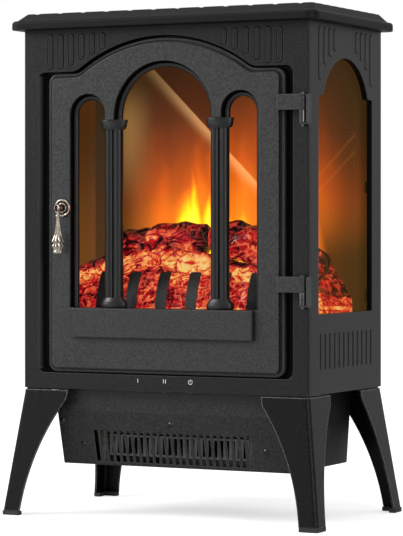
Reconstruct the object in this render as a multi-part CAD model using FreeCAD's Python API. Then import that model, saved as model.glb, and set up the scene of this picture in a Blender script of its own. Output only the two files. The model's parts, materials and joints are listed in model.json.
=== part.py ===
"""Free-standing electric fireplace: a sheet-metal stove body with a hinged arched door and a fan heater below.

Millimetres. +Z is up, the front faces -Y, and +X is to the right seen from the front. The origin is on the floor,
at the middle of the footprint.
"""
import FreeCAD, Part
import math
import os

V = FreeCAD.Vector
X_AXIS = V(1, 0, 0)
Y_AXIS = V(0, 1, 0)
Z_AXIS = V(0, 0, 1)

# Overall
HEIGHT = 600.0
BODY_W = 375.0
BODY_D = 210.0
BODY_Z0 = 152.0
LID_H = 20.0
SHEET = 1.2
BODY_Z1 = HEIGHT - LID_H
HALF_W = BODY_W / 2
FRONT = -BODY_D / 2
BACK = BODY_D / 2

# Lid
LID_OVERHANG = 14.0
LID_CORNER_R = 12.5
LID_RIM_H = 10.7
LID_SHOULDER = 6.0
DECK_HALF_X = 189.5
DECK_HALF_Y = 98.0
DECK_SKIN = 2.6
SCALLOP_R = 8.0
SCALLOP_DEPTH = 1.2
SCALLOP_RUN = 18.0
FRONT_SCALLOPS = 12
SIDE_SCALLOPS = 9

# Legs
LEG_SPLAY = 20.0
LEG_TOP_W = 60.0
LEG_EAR_W = 58.0
LEG_EAR_Z = 139.0
LEG_FOOT_W = 23.5
LEG_BEND_W = 35.8
LEG_BEND_Z = 88.0
LEG_SHEET = 2.5
PAD_H = 5.0
PAD_ARM = 8.0
LEG_FLANGE_T = 2.0
LEG_TOP_Z = BODY_Z0 - LEG_FLANGE_T

# Door outline: an arched slab with square shoulders
FACE_HALF_W = 149.8
FACE_Z0 = 177.0
FACE_SHOULDER_Z = 521.5
ARCH_CENTRE_Z = 378.0
FACE_ARCH_R = 182.4
RIM_OUT = 5.7
RIM_BACK = 3.8
RECESS_HALF_W = 168.0
RECESS_Z0 = 170.6
RECESS_SHOULDER_Z = 529.0
RECESS_ARCH_R = 190.6
RECESS_DEPTH = 19.0
DOOR_T = 10.0

# Door window: one tall arch between two narrow ones
OPENING_HALF_W = 125.0
SPRING_Z = 473.0
MAIN_ARCH_R = 65.8
SIDE_ARCH_R = 24.75
SIDE_ARCH_X = OPENING_HALF_W - SIDE_ARCH_R
SIDE_SPRING_Z = 477.5
CAPITAL_Z0 = 459.0
CAPITAL_Z1 = 470.8
BASE_H = 12.3
COLUMN_X = 70.0
SHAFT_R = 5.9
SHAFT_MERGE = 0.3
BEAD_R = 3.7
BEAD_Y = FRONT + 10.5
COLUMN_Y = FRONT + 10.5
LEDGE_HALF_W = 118.5
LEDGE_Z0 = 213.3
LEDGE_Z1 = 248.5
LEDGE_PROUD = 6.0
LEDGE_BACK_Y = FRONT + 18.8
GLASS_T = 3.0
DOOR_GLASS_Y = FRONT + 20.0

# Arched outlines behind the door: half width, foot height, shoulder height, arch radius, corner radius
GLASS_OUTLINE = (131.0, 206.0, 504.0, 167.0, 4.0)
GLASS_RING_OUTLINE = (134.0, 203.0, 507.0, 169.5, 6.0)
GLASS_SIGHT_OUTLINE = (126.5, 214.0, 500.0, 163.0, 4.0)
PANEL_MOUTH_OUTLINE = (138.0, 197.0, 512.0, 173.5, 6.0)

# Door hinge
PIN_X = 181.8
PIN_Y = FRONT - 4.8
PIN_R = 1.5
RUNNING = 0.05
EYE_R = 4.2
KNUCKLE_R = 4.6
HINGE_Z = (477.5, 270.0)
STRAP_H = 17.8
KNUCKLE_H = 14.4
DOOR_GAP = 0.35

# Handle
HANDLE_X = -134.0
HANDLE_Z = 367.0
ROSETTE_R = 10.7
HANDLE_PIN_Y = FRONT - 12.2
PENDANT_LEN = 55.0

# Side windows
WINDOW_HALF_W = 78.0
WINDOW_Z0 = 244.0
WINDOW_STEP_Z = 496.0
WINDOW_ARCH_HALF = 64.7
WINDOW_TOP_Z = 541.5
WINDOW_LIP = 7.0
SIDE_GLASS_X = HALF_W - 7.6
SIDE_GLASS_T = 2.5
SIDE_GLASS_HALF_D = 85.0
SIDE_GLASS_Z = (232.0, 552.0)
CORNER_RETURN = 9.0

# Embossed flutes
FLUTE_W = 8.6
FLUTE_PITCH = 14.2
FLUTE_TOP_Z = 575.0
FRONT_FLUTE_X0 = 80.0
FRONT_FLUTE_Z = (553.5, 548.0, 542.0, 535.0, 531.0, 531.0)
SIDE_FLUTE_Y0 = 31.5
SIDE_FLUTE_Z = (547.8, 540.2, 530.2, 512.0)
FLUTE_LIFT = 0.6
FLUTE_GROOVE = 0.8
RIB_COUNT = 12
RIB_PITCH = 13.27
RIB_W = 5.0
RIB_Z = (180.0, 222.0)

# Firebox
FIREBOX_HALF_W = 176.5
FIREBOX_FRONT = -79.0
FLOOR_Z = 238.0
SCREEN_Y = 50.0
SCREEN_T = 3.0
SCREEN_Z0 = 212.0
SCREEN_RETURN_Y = 96.0
CEILING_Z = 556.0
EMBER_BED_FRONT = -66.0
EMBER_WALL = 6.0
FINGER_COUNT = 6
FINGER_PITCH = 40.0
FINGER_W = 14.0
FINGER_Y = -74.0
FINGER_TOP_Z = 291.0
FINGER_T = 1.6
FINGER_LEAN = 16.0
EMBER_TOP_Z = 264.0

# Flame drive behind the screen
SPINDLE_Y = 76.0
SPINDLE_Z = 292.0
SPINDLE_R = 2.5
SPINDLE_VANE_R = 13.0
SPINDLE_HALF_L = 140.0

# Fan heater below the body
HOUSING_HALF_W = 150.0
HOUSING_Z0 = 60.0
HOUSING_KNEE_Z = 125.0
HOUSING_FRONT_TOP_Y = -90.0
HOUSING_FRONT_LOW_Y = -73.5
HOUSING_BACK_TOP_Y = 102.0
HOUSING_BACK_LOW_Y = 88.0
GRILLE_COUNT = 24
GRILLE_HALF_W = 104.0
GRILLE_SLOT_W = 5.4
GRILLE_Z = (64.5, 102.5)
WHEEL_Y = 18.0
WHEEL_Z = 104.0
WHEEL_R = 24.0
WHEEL_HALF_L = 88.0
WHEEL_BLADES = 24

# Rocker switches on the underside, behind the front lip
SWITCH_X = (-32.8, 2.6, 36.5)
SWITCH_Y = FRONT + 8.6
ROCKER_L = 10.4
ROCKER_TILT = 6.0
ROCKER_W = 6.4
ROCKER_PIVOT_Z = BODY_Z0 + 3.4

# Cable gland in the back panel
GLAND_X = 150.0
GLAND_Z = 172.0
GLAND_BORE_R = 3.6
GLAND_HOLE_R = 8.0

# Screws
SCREW_R = 1.6
SCREW_HEAD_R = 3.4
SCREW_HEAD_H = 1.8


def box(x0, x1, y0, y1, z0, z1):
    return Part.makeBox(x1 - x0, y1 - y0, z1 - z0, V(x0, y0, z0))


def rod(radius, start, axis, length):
    return Part.makeCylinder(radius, length, start, axis)


def fuse(shapes):
    result = shapes[0]
    if len(shapes) > 1:
        result = result.multiFuse(shapes[1:])
    return result.removeSplitter()


def cut(shape, tools):
    return shape.cut(Part.makeCompound(tools)) if tools else shape


def group(shapes):
    return Part.makeCompound(shapes)


def mirror_x(shape):
    return shape.mirror(V(0, 0, 0), X_AXIS)


def mirror_y(shape):
    return shape.mirror(V(0, 0, 0), Y_AXIS)


def turned(shape, degrees):
    copy = shape.copy()
    copy.rotate(V(0, 0, 0), Z_AXIS, degrees)
    return copy


def save(node, shape):
    shape.exportStep("parts/%s.step" % node)
    solids = shape.Solids
    volume = sum(s.Volume for s in solids) / 1000
    valid = all(s.isValid() for s in solids)
    print("%-22s %3d solids %9.2f cm3 %s" % (node, len(solids), volume, "" if valid else "INVALID"))


def segment(p, q):
    return Part.LineSegment(V(p[0], 0, p[1]), V(q[0], 0, q[1])).toShape()


def polar(centre, radius, degrees):
    a = math.radians(degrees)
    return (centre[0] + radius * math.cos(a), centre[1] + radius * math.sin(a))


def arc(centre, radius, start, end):
    """An arc in the XZ plane between two angles, in degrees."""
    points = [polar(centre, radius, a) for a in (start, (start + end) / 2, end)]
    return Part.Arc(*[V(p[0], 0, p[1]) for p in points]).toShape()


def prism(edges, y0, y1):
    """A slab between two Y planes from an outline in the XZ plane."""
    face = Part.Face(Part.Wire(Part.__sortEdges__(edges)))
    face.translate(V(0, y0, 0))
    return face.extrude(V(0, y1 - y0, 0))


def polygon(points):
    closed = list(points) + [points[0]]
    return [segment(p, q) for p, q in zip(closed, closed[1:])]


def arched_outline(half_w, z0, shoulder_z, arch_r, corner_r, foot_r=22.0):
    """Rectangle with rounded corners whose top rises from square shoulders into one large arch."""
    reach = math.sqrt((arch_r + foot_r) ** 2 - (shoulder_z + foot_r - ARCH_CENTRE_Z) ** 2)
    foot = math.degrees(math.atan2(shoulder_z + foot_r - ARCH_CENTRE_Z, reach))
    x1 = half_w - corner_r
    z1 = z0 + corner_r
    z2 = shoulder_z - corner_r
    return [
        segment((-x1, z0), (x1, z0)),
        arc((x1, z1), corner_r, -90, 0),
        segment((half_w, z1), (half_w, z2)),
        arc((x1, z2), corner_r, 0, 90),
        segment((x1, shoulder_z), (reach, shoulder_z)),
        arc((reach, shoulder_z + foot_r), foot_r, 270, 180 + foot),
        arc((0, ARCH_CENTRE_Z), arch_r, foot, 180 - foot),
        arc((-reach, shoulder_z + foot_r), foot_r, -foot, -90),
        segment((-reach, shoulder_z), (-x1, shoulder_z)),
        arc((-x1, z2), corner_r, 90, 180),
        segment((-half_w, z2), (-half_w, z1)),
        arc((-x1, z1), corner_r, 180, 270),
    ]


def obround(x, z0, z1, width):
    r = width / 2
    return [
        segment((x - r, z1 - r), (x - r, z0 + r)),
        arc((x, z0 + r), r, 180, 360),
        segment((x + r, z0 + r), (x + r, z1 - r)),
        arc((x, z1 - r), r, 0, 180),
    ]


def add_flutes(panel, face_y, spans, width=FLUTE_W):
    """Press long obround beads into a panel: a crease all round each bead, and a crown a little proud of the sheet."""
    grooves = []
    crowns = []
    crease = 1.1
    for x, z0, z1 in spans:
        outer = prism(obround(x, z0, z1, width), face_y - 0.1, face_y + FLUTE_GROOVE)
        inner = prism(obround(x, z0 + crease, z1 - crease, width - 2 * crease), face_y - 1, face_y + 2)
        grooves.append(outer.cut(inner))
        crown = prism(obround(x, z0 + crease, z1 - crease, width - 2 * crease), face_y - FLUTE_LIFT, face_y)
        rounded = [e for e in crown.Edges if e.BoundBox.YMax < face_y - FLUTE_LIFT + 0.01]
        crowns.append(crown.makeFillet(FLUTE_LIFT * 0.8, rounded))
    return panel.cut(Part.makeCompound(grooves)).multiFuse(crowns)


def screw(tip, axis, length):
    """Pan-head screw: tip is where the shank ends, and axis points from the tip to the head."""
    shank = rod(SCREW_R, tip, axis, length)
    base = tip + axis * length
    head = rod(SCREW_HEAD_R, base, axis, SCREW_HEAD_H)
    dome_r = (SCREW_HEAD_R ** 2 + SCREW_HEAD_H ** 2) / (2 * SCREW_HEAD_H)
    dome = Part.makeSphere(dome_r, base + axis * (SCREW_HEAD_H - dome_r))
    head = head.common(dome)
    side = axis.cross(Z_AXIS)
    side = X_AXIS if side.Length < 0.1 else side.normalize()
    other = axis.cross(side)
    slots = []
    for along, across in ((side, other), (other, side)):
        half = along * (SCREW_HEAD_R * 0.55)
        wide = across * 0.35
        corner = base + axis * (SCREW_HEAD_H * 0.5) - half - wide
        points = [corner, corner + half * 2, corner + half * 2 + wide * 2, corner + wide * 2, corner]
        slots.append(Part.Face(Part.makePolygon(points)).extrude(axis * SCREW_HEAD_H))
    return head.cut(Part.makeCompound(slots)).fuse(shank)


def screw_holes(screws_at):
    return [rod(SCREW_R, tip - axis, axis, length + 2) for tip, axis, length in screws_at]


# Where the fasteners are: (tip, axis from tip to head, shank length)
def housing_screw_places():
    slope = math.atan2(HOUSING_FRONT_LOW_Y - HOUSING_FRONT_TOP_Y, HOUSING_KNEE_Z - HOUSING_Z0)
    out = V(0, -math.cos(slope), -math.sin(slope))
    places = []
    for x, z in ((-120, 84.5), (122, 84.5), (1, 112), (-145.5, 112), (145.5, 112)):
        share = (HOUSING_KNEE_Z - z) / (HOUSING_KNEE_Z - HOUSING_Z0)
        y = HOUSING_FRONT_TOP_Y + share * (HOUSING_FRONT_LOW_Y - HOUSING_FRONT_TOP_Y)
        surface = V(x, y, z)
        length = 2.2 if abs(x) > 140 else 5.0
        places.append((surface - out * length, out, length))
    return places


def back_screw_places():
    spots = [(x, z) for x in (-178, 178) for z in (170, 305, 440, 568)]
    spots += [(x, z) for x in (-60, 60) for z in (568, 160)]
    return [(V(x, BACK - 6, z), Y_AXIS, 6.0) for x, z in spots]


def leg_screw_places():
    spots = [(sx * x, sy * y) for sx in (-1, 1) for sy in (-1, 1) for x, y in ((160, 94), (177, 80))]
    return [(V(x, y, LEG_TOP_Z + 6), V(0, 0, -1), 6.0) for x, y in spots]


# Casing
def lid_profile():
    """The lid rim, looking along the path: a rounded nose and a small shoulder where the sloping top starts."""
    rim_r = 4.0
    foot_r = 1.2
    x_in = -LID_CORNER_R
    rim_top = BODY_Z1 + LID_RIM_H
    return [
        segment((x_in, BODY_Z1), (-foot_r, BODY_Z1)),
        arc((-foot_r, BODY_Z1 + foot_r), foot_r, 270, 360),
        segment((0, BODY_Z1 + foot_r), (0, rim_top - rim_r)),
        arc((-rim_r, rim_top - rim_r), rim_r, 0, 90),
        segment((-rim_r, rim_top), (x_in, rim_top)),
        segment((x_in, rim_top), (x_in, BODY_Z1)),
    ]


def rounded_rectangle(half_x, half_y, radius, z):
    edges = []
    for sx, sy, start in ((1, 1, 0), (-1, 1, 90), (-1, -1, 180), (1, -1, 270)):
        cx = sx * (half_x - radius)
        cy = sy * (half_y - radius)
        angles = [math.radians(a) for a in (start, start + 45, start + 90)]
        edges.append(Part.Arc(*[V(cx + radius * math.cos(a), cy + radius * math.sin(a), z) for a in angles]).toShape())
    for sy in (1, -1):
        x = half_x - radius
        edges.append(Part.LineSegment(V(-x, sy * half_y, z), V(x, sy * half_y, z)).toShape())
    for sx in (1, -1):
        y = half_y - radius
        edges.append(Part.LineSegment(V(sx * half_x, -y, z), V(sx * half_x, y, z)).toShape())
    return Part.Wire(Part.__sortEdges__(edges))


def slab(half_x, half_y, radius, z0, z1):
    return Part.Face(rounded_rectangle(half_x, half_y, radius, z0)).extrude(V(0, 0, z1 - z0))


def frustum(low_half, low_z, high_half, high_z, radius):
    """A block with rounded corners and sloping sides."""
    low = rounded_rectangle(*low_half, radius, low_z)
    high = rounded_rectangle(*high_half, radius, high_z)
    return Part.makeLoft([low, high], True, True)


def lid_scallops():
    """Cutters for the shallow flutes that cross the edge of the flat top on all four sides."""
    z = HEIGHT + SCALLOP_R - SCALLOP_DEPTH
    reach = 60.0
    cutters = []
    for i in range(FRONT_SCALLOPS):
        x = (i - (FRONT_SCALLOPS - 1) / 2) * 2 * DECK_HALF_X / FRONT_SCALLOPS
        cutters += [rod(SCALLOP_R, V(x, sy * (DECK_HALF_Y - SCALLOP_RUN), z), V(0, sy, 0), reach) for sy in (-1, 1)]
    for i in range(SIDE_SCALLOPS):
        y = (i - (SIDE_SCALLOPS - 1) / 2) * 2 * DECK_HALF_Y / SIDE_SCALLOPS
        cutters += [rod(SCALLOP_R, V(sx * (DECK_HALF_X - SCALLOP_RUN), y, z), V(sx, 0, 0), reach) for sx in (-1, 1)]
    return cutters


def make_lid():
    """Pressed lid: a rounded rim, sides that slope up to a flat top, and shallow flutes across the top's edge."""
    half_x = HALF_W + LID_OVERHANG
    half_y = BODY_D / 2 + LID_OVERHANG
    face = Part.Face(Part.Wire(Part.__sortEdges__(lid_profile())))
    pieces = []
    for span, depth, angle in ((half_x, half_y, 0), (half_y, half_x, 90), (half_x, half_y, 180), (half_y, half_x, 270)):
        side = face.copy()
        side.rotate(V(0, 0, 0), Z_AXIS, -90)
        side.translate(V(-(span - LID_CORNER_R), -depth, 0))
        side = side.extrude(V(2 * (span - LID_CORNER_R), 0, 0))
        pieces.append(turned(side, angle))
    for sx, sy, start in ((1, 1, 0), (-1, 1, 90), (-1, -1, 180), (1, -1, 270)):
        corner = face.copy()
        corner.translate(V(LID_CORNER_R, 0, 0))
        corner.rotate(V(0, 0, 0), Z_AXIS, start)
        corner = corner.revolve(V(0, 0, 0), Z_AXIS, 90)
        corner.translate(V(sx * (half_x - LID_CORNER_R), sy * (half_y - LID_CORNER_R), 0))
        pieces.append(corner)
    inset = LID_CORNER_R
    rim_top = BODY_Z1 + LID_RIM_H
    core = box(-half_x + inset, half_x - inset, -half_y + inset, half_y - inset, BODY_Z1, rim_top)
    shoulder = (half_x - LID_SHOULDER, half_y - LID_SHOULDER)
    deck = (DECK_HALF_X, DECK_HALF_Y)
    top = frustum(shoulder, rim_top, deck, HEIGHT, LID_CORNER_R - LID_SHOULDER)
    edge = [e for e in top.Edges if e.BoundBox.ZMin > HEIGHT - 0.01]
    lid = fuse([core, top.makeFillet(1.5, edge)] + pieces)
    skin = 1.6
    rim_inside = slab(half_x - skin, half_y - skin, LID_CORNER_R - skin, BODY_Z1 + skin, BODY_Z1 + LID_RIM_H - 3.2)
    low_half = [h - DECK_SKIN - 1.0 for h in shoulder]
    high_half = [h - DECK_SKIN for h in deck]
    top_inside = frustum(low_half, BODY_Z1 + LID_RIM_H - 3.3, high_half, HEIGHT - DECK_SKIN, 3.0)
    mouth = box(-HALF_W + 6, HALF_W - 6, FRONT + 6, BACK - 6, BODY_Z1 - 1, BODY_Z1 + LID_RIM_H)
    return lid.cut(fuse([rim_inside, top_inside, mouth])).cut(lid_scallops())


def recess_outline(grow):
    return arched_outline(RECESS_HALF_W + grow, RECESS_Z0 - grow, RECESS_SHOULDER_Z + grow, RECESS_ARCH_R + grow, 9 + grow)


def make_front_panel():
    """Front sheet with folded corners and a drawn recess that the door closes into."""
    blank = box(-HALF_W, HALF_W, FRONT, FRONT + CORNER_RETURN, BODY_Z0, BODY_Z1)
    corners = [e for e in blank.Edges if e.BoundBox.ZLength > 100 and e.BoundBox.YMax < FRONT + 0.01]
    blank = blank.makeFillet(2.0, corners)
    inside = box(-HALF_W + SHEET, HALF_W - SHEET, FRONT + SHEET, FRONT + CORNER_RETURN + 1, BODY_Z0 - 1, BODY_Z1 + 1)
    sheet = blank.cut(inside)
    pocket = prism(recess_outline(SHEET), FRONT, FRONT + RECESS_DEPTH)
    pocket_hollow = prism(recess_outline(0), FRONT - 1, FRONT + RECESS_DEPTH - SHEET)
    mouth = prism(arched_outline(*PANEL_MOUTH_OUTLINE), FRONT - 1, FRONT + RECESS_DEPTH + 1)
    panel = sheet.fuse(pocket).cut(pocket_hollow).cut(mouth)
    spans = []
    for i, z0 in enumerate(FRONT_FLUTE_Z):
        x = FRONT_FLUTE_X0 + i * FLUTE_PITCH
        spans += [(x, z0, FLUTE_TOP_Z), (-x, z0, FLUTE_TOP_Z)]
    panel = add_flutes(panel, FRONT, spans)
    return cut(panel, make_mark_cutters()).removeSplitter()


def make_mark_cutters():
    """Generic switch marks pressed into the lip: one bar, two bars and a ring with a bar."""
    depth = 0.35
    low = 161.8
    high = 166.4
    marks = [box(x - 0.5, x + 0.5, FRONT - 1, FRONT + depth, low, high) for x in (SWITCH_X[0], 1.2, 4.0)]
    ring_x = SWITCH_X[2]
    middle = V(ring_x, FRONT - 1, (low + high) / 2)
    ring = rod(2.9, middle, Y_AXIS, 1 + depth).cut(rod(2.1, middle, Y_AXIS, 1 + depth))
    gap = box(ring_x - 1.1, ring_x + 1.1, FRONT - 2, FRONT + 1, low + 2.4, high + 2)
    marks.append(ring.cut(gap))
    marks.append(box(ring_x - 0.45, ring_x + 0.45, FRONT - 1, FRONT + depth, low + 2.1, high + 1))
    return marks


def window_outline(grow):
    """Side window: square shoulders below one round arch."""
    half = WINDOW_HALF_W + grow
    arch = WINDOW_ARCH_HALF + grow
    step = WINDOW_STEP_Z + grow
    rise = WINDOW_TOP_Z + grow - step
    radius = (arch ** 2 + rise ** 2) / (2 * rise)
    centre = (0, step + rise - radius)
    start = math.degrees(math.asin((radius - rise) / radius))
    r = 3.0
    z0 = WINDOW_Z0 - grow
    return [
        segment((-half + r, z0), (half - r, z0)),
        arc((half - r, z0 + r), r, -90, 0),
        segment((half, z0 + r), (half, step - r)),
        arc((half - r, step - r), r, 0, 90),
        segment((half - r, step), (arch, step)),
        arc(centre, radius, start, 180 - start),
        segment((-arch, step), (-half + r, step)),
        arc((-half + r, step - r), r, 90, 180),
        segment((-half, step - r), (-half, z0 + r)),
        arc((-half + r, z0 + r), r, 180, 270),
    ]


def make_side_panel():
    """The right-hand side sheet, drawn facing the front and then turned to face +X."""
    face = -HALF_W
    half_front = -FRONT - CORNER_RETURN - 0.2
    half_back = BACK - SHEET
    sheet = box(-half_front, half_back, face, face + SHEET, BODY_Z0, BODY_Z1)
    lip = prism(window_outline(SHEET), face + 0.5, face + WINDOW_LIP)
    sheet = sheet.fuse(lip).cut(prism(window_outline(0), face - 1, face + WINDOW_LIP + 1))
    spans = []
    for i, z0 in enumerate(SIDE_FLUTE_Z):
        y = SIDE_FLUTE_Y0 + i * FLUTE_PITCH
        spans += [(y, z0, FLUTE_TOP_Z), (-y, z0, FLUTE_TOP_Z)]
    sheet = add_flutes(sheet, face, spans)
    first = -RIB_PITCH * (RIB_COUNT - 1) / 2
    ribs = [prism(obround(first + i * RIB_PITCH, RIB_Z[0], RIB_Z[1], RIB_W), face - 1, face + FLUTE_GROOVE)
            for i in range(RIB_COUNT)]
    return turned(cut(sheet, ribs).removeSplitter(), 90)


def make_back_panel():
    """Rear sheet with two banks of air slots and the cable hole."""
    sheet = box(-HALF_W, HALF_W, BACK - SHEET, BACK, BODY_Z0, BODY_Z1)
    slots = []
    for row_z in (188, 512):
        for i in range(15):
            x = (i - 7) * 15.0
            slots.append(prism(obround(x, row_z, row_z + 36, 4.5), BACK - SHEET - 1, BACK + 1))
    hole = rod(GLAND_HOLE_R, V(GLAND_X, BACK - SHEET - 1, GLAND_Z), Y_AXIS, SHEET + 2)
    return cut(sheet, slots + [hole] + screw_holes(back_screw_places()))


def make_bottom_plate():
    half_y = BACK - SHEET - 0.2
    plate = box(-HALF_W + SHEET + 0.2, HALF_W - SHEET - 0.2, FRONT + SHEET + 0.2, half_y, BODY_Z0, BODY_Z0 + SHEET)
    cuts = [box(-120, 120, -55, 80, BODY_Z0 - 1, BODY_Z0 + 3)]
    for x in SWITCH_X:
        cuts.append(box(x - 7, x + 7, SWITCH_Y - 4.6, SWITCH_Y + 4.6, BODY_Z0 - 1, BODY_Z0 + 3))
    return cut(plate, cuts + screw_holes(leg_screw_places()))


def make_corner_posts():
    """Four angle uprights inside the corners that the sheets are screwed to."""
    posts = []
    for sx in (-1, 1):
        x = sx * (HALF_W - SHEET - 0.2)
        x_in = x - sx * 12
        y = BACK - SHEET
        flange = box(min(x, x_in), max(x, x_in), y - 1.2, y, BODY_Z0 + SHEET, BODY_Z1 - 1)
        web = box(min(x, x - sx * 1.2), max(x, x - sx * 1.2), y - 12, y, BODY_Z0 + SHEET, BODY_Z1 - 1)
        posts.append(cut(flange.fuse(web), screw_holes(back_screw_places())).removeSplitter())
    return group(posts)


# Legs
def leg_width_outline(towards):
    """Region of one leg flange in the XZ plane, measured from the floor corner ridge, which leans out."""
    top = (HALF_W - LEG_TOP_W, LEG_TOP_Z)
    ear = (HALF_W - LEG_EAR_W, LEG_EAR_Z)
    bend = (HALF_W + LEG_SPLAY * (LEG_TOP_Z - LEG_BEND_Z) / LEG_TOP_Z - LEG_BEND_W, LEG_BEND_Z)
    foot = (HALF_W + LEG_SPLAY - LEG_FOOT_W, 0)
    curve = Part.Arc(V(ear[0], 0, ear[1]), V(bend[0], 0, bend[1]), V(foot[0], 0, foot[1])).toShape()
    far = HALF_W + LEG_SPLAY + 10
    sides = [segment(foot, (far, 0)), segment((far, 0), (far, LEG_TOP_Z)), segment((far, LEG_TOP_Z), top)]
    region = prism([segment(top, ear), curve] + sides, -400, 400)
    if towards == "x":
        return region
    shifted = turned(region, 90)
    shifted.translate(V(0, BACK - HALF_W, 0))
    return shifted


def angle_section(x, y, z):
    """L section with a rounded outer ridge, its corner at x, y, with arms towards -X and -Y."""
    arm = LEG_TOP_W + 4
    r = 5.0
    t = LEG_SHEET
    k = math.sqrt(0.5)
    p = [V(x - arm, y, z), V(x - r, y, z), V(x - r + r * k, y - r + r * k, z), V(x, y - r, z), V(x, y - arm, z)]
    q = [V(x - t, y - arm, z), V(x - t, y - r, z), V(x - r + (r - t) * k, y - r + (r - t) * k, z),
         V(x - r, y - t, z), V(x - arm, y - t, z)]
    edges = [
        Part.LineSegment(p[0], p[1]).toShape(),
        Part.Arc(p[1], p[2], p[3]).toShape(),
        Part.LineSegment(p[3], p[4]).toShape(),
        Part.LineSegment(p[4], q[0]).toShape(),
        Part.LineSegment(q[0], q[1]).toShape(),
        Part.Arc(q[1], q[2], q[3]).toShape(),
        Part.LineSegment(q[3], q[4]).toShape(),
        Part.LineSegment(q[4], p[0]).toShape(),
    ]
    return Part.Wire(edges)


def make_leg():
    """The leg at +X +Y: a splayed angle with curved inner edges and a flange under the body."""
    low = angle_section(HALF_W + LEG_SPLAY, BACK + LEG_SPLAY, 0)
    high = angle_section(HALF_W, BACK, LEG_TOP_Z)
    leg = Part.makeLoft([low, high], True, True)
    leg = leg.common(leg_width_outline("x")).common(leg_width_outline("y"))
    leg = leg.cut(box(100, 300, 0, 300, -1, PAD_H))
    flange = box(HALF_W - 36, HALF_W - 2.6, BACK - 36, BACK - 2.6, LEG_TOP_Z, BODY_Z0)
    return leg.fuse(cut(flange, screw_holes(leg_screw_places()))).removeSplitter()


def make_foot_pad():
    """Rubber cap under the angle of a leg, with the same L shape as the leg's end."""
    size = LEG_FOOT_W
    x1 = HALF_W + LEG_SPLAY
    y1 = BACK + LEG_SPLAY
    foot = box(x1 - size, x1, y1 - size, y1, 0, PAD_H)
    foot = foot.cut(box(x1 - size - 1, x1 - PAD_ARM, y1 - size - 1, y1 - PAD_ARM, -1, PAD_H + 1))
    outer = [e for e in foot.Edges if e.BoundBox.ZLength > 1 and e.BoundBox.XMin > x1 - 0.01 and e.BoundBox.YMin > y1 - 0.01]
    foot = foot.makeFillet(4.0, outer)
    rim = [e for e in foot.Edges if e.BoundBox.ZMax < 0.01]
    return foot.makeFillet(1.2, rim)


def four_corners(shape):
    return [shape, mirror_x(shape), mirror_y(shape), mirror_x(mirror_y(shape))]


# Firebox
def side_glass_shape():
    face = -SIDE_GLASS_X
    pane = box(-SIDE_GLASS_HALF_D, SIDE_GLASS_HALF_D, face, face + SIDE_GLASS_T, *SIDE_GLASS_Z)
    return turned(pane, 90)


def make_glass_clips():
    """Small clips that hold each side pane against the window lip."""
    clips = []
    x_out = SIDE_GLASS_X - SIDE_GLASS_T
    for sy in (-1, 1):
        y = sy * (SIDE_GLASS_HALF_D + 2.2)
        for z in (262, 392, 522):
            foot = box(x_out - 1.2, HALF_W - SHEET, min(y, y + sy * 4), max(y, y + sy * 4), z - 7, z + 7)
            hook = box(x_out - 1.2, x_out, min(y - sy * 8, y), max(y - sy * 8, y), z - 7, z + 7)
            clips.append(foot.fuse(hook).removeSplitter())
    return group(clips + [mirror_x(c) for c in clips])


def make_firebox_floor():
    floor = box(-FIREBOX_HALF_W, FIREBOX_HALF_W, FIREBOX_FRONT, SCREEN_Y - 0.3, FLOOR_Z - SHEET, FLOOR_Z)
    apron = box(-FIREBOX_HALF_W, FIREBOX_HALF_W, FIREBOX_FRONT, FIREBOX_FRONT + SHEET, 208, FLOOR_Z - SHEET)
    return floor.fuse(apron).removeSplitter()


def make_flame_screen():
    """Screen across the firebox, with side returns that hide the flame drive from the side windows."""
    top = CEILING_Z - 0.5
    half = FIREBOX_HALF_W
    back = SCREEN_Y + SCREEN_T
    screen = box(-half, half, SCREEN_Y, back, SCREEN_Z0, top)
    edge = half - 0.7
    wing = box(edge - SCREEN_T, edge, back, SCREEN_RETURN_Y, SCREEN_Z0, top)
    return fuse([screen, wing, mirror_x(wing)])


def make_ceiling():
    return box(-HALF_W + 4, HALF_W - 4, -85, BACK - 4, CEILING_Z, CEILING_Z + 1.2)


def make_back_reflector():
    return box(-FIREBOX_HALF_W, FIREBOX_HALF_W, BACK - 7, BACK - 6, SCREEN_Z0, CEILING_Z - 0.5)


def log(start, end, radius):
    """A tapering round log with sawn, slightly domed ends."""
    a = V(*start)
    b = V(*end)
    axis = b - a
    body = Part.makeCone(radius, radius * 0.9, axis.Length, a, axis)
    knots = [Part.makeSphere(radius * 0.62, a + axis * share + V(0, -radius * 0.45, radius * 0.25))
             for share in (0.3, 0.68)]
    return fuse([body] + knots)


def make_log_set():
    """One moulded set of crossed logs, standing on the ember bed."""
    logs = [
        log((-160, -25, 270), (-58, -24, 324), 21),
        log((-64, -24, 324), (20, -24, 327), 23),
        log((28, -24, 328), (128, -25, 311), 24),
        log((120, -25, 311), (160, -26, 288), 22),
        log((-130, -41, 286), (-30, -38, 309), 15.5),
        log((-36, -38, 309), (150, -41, 270), 15.5),
    ]
    return fuse(logs).cut(box(-300, 300, -200, 200, 0, EMBER_TOP_Z))


def make_ember_bed():
    half = FIREBOX_HALF_W - 1
    back = SCREEN_Y - 3
    wall = EMBER_WALL
    bed = box(-half, half, EMBER_BED_FRONT, back, FLOOR_Z, EMBER_TOP_Z)
    top = [e for e in bed.Edges if e.BoundBox.ZMin > EMBER_TOP_Z - 0.01]
    bed = bed.makeChamfer(wall, top)
    hollow = box(-half + wall, half - wall, EMBER_BED_FRONT + wall, back - wall, FLOOR_Z - 1, EMBER_TOP_Z - wall / 2)
    return bed.cut(hollow)


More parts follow.
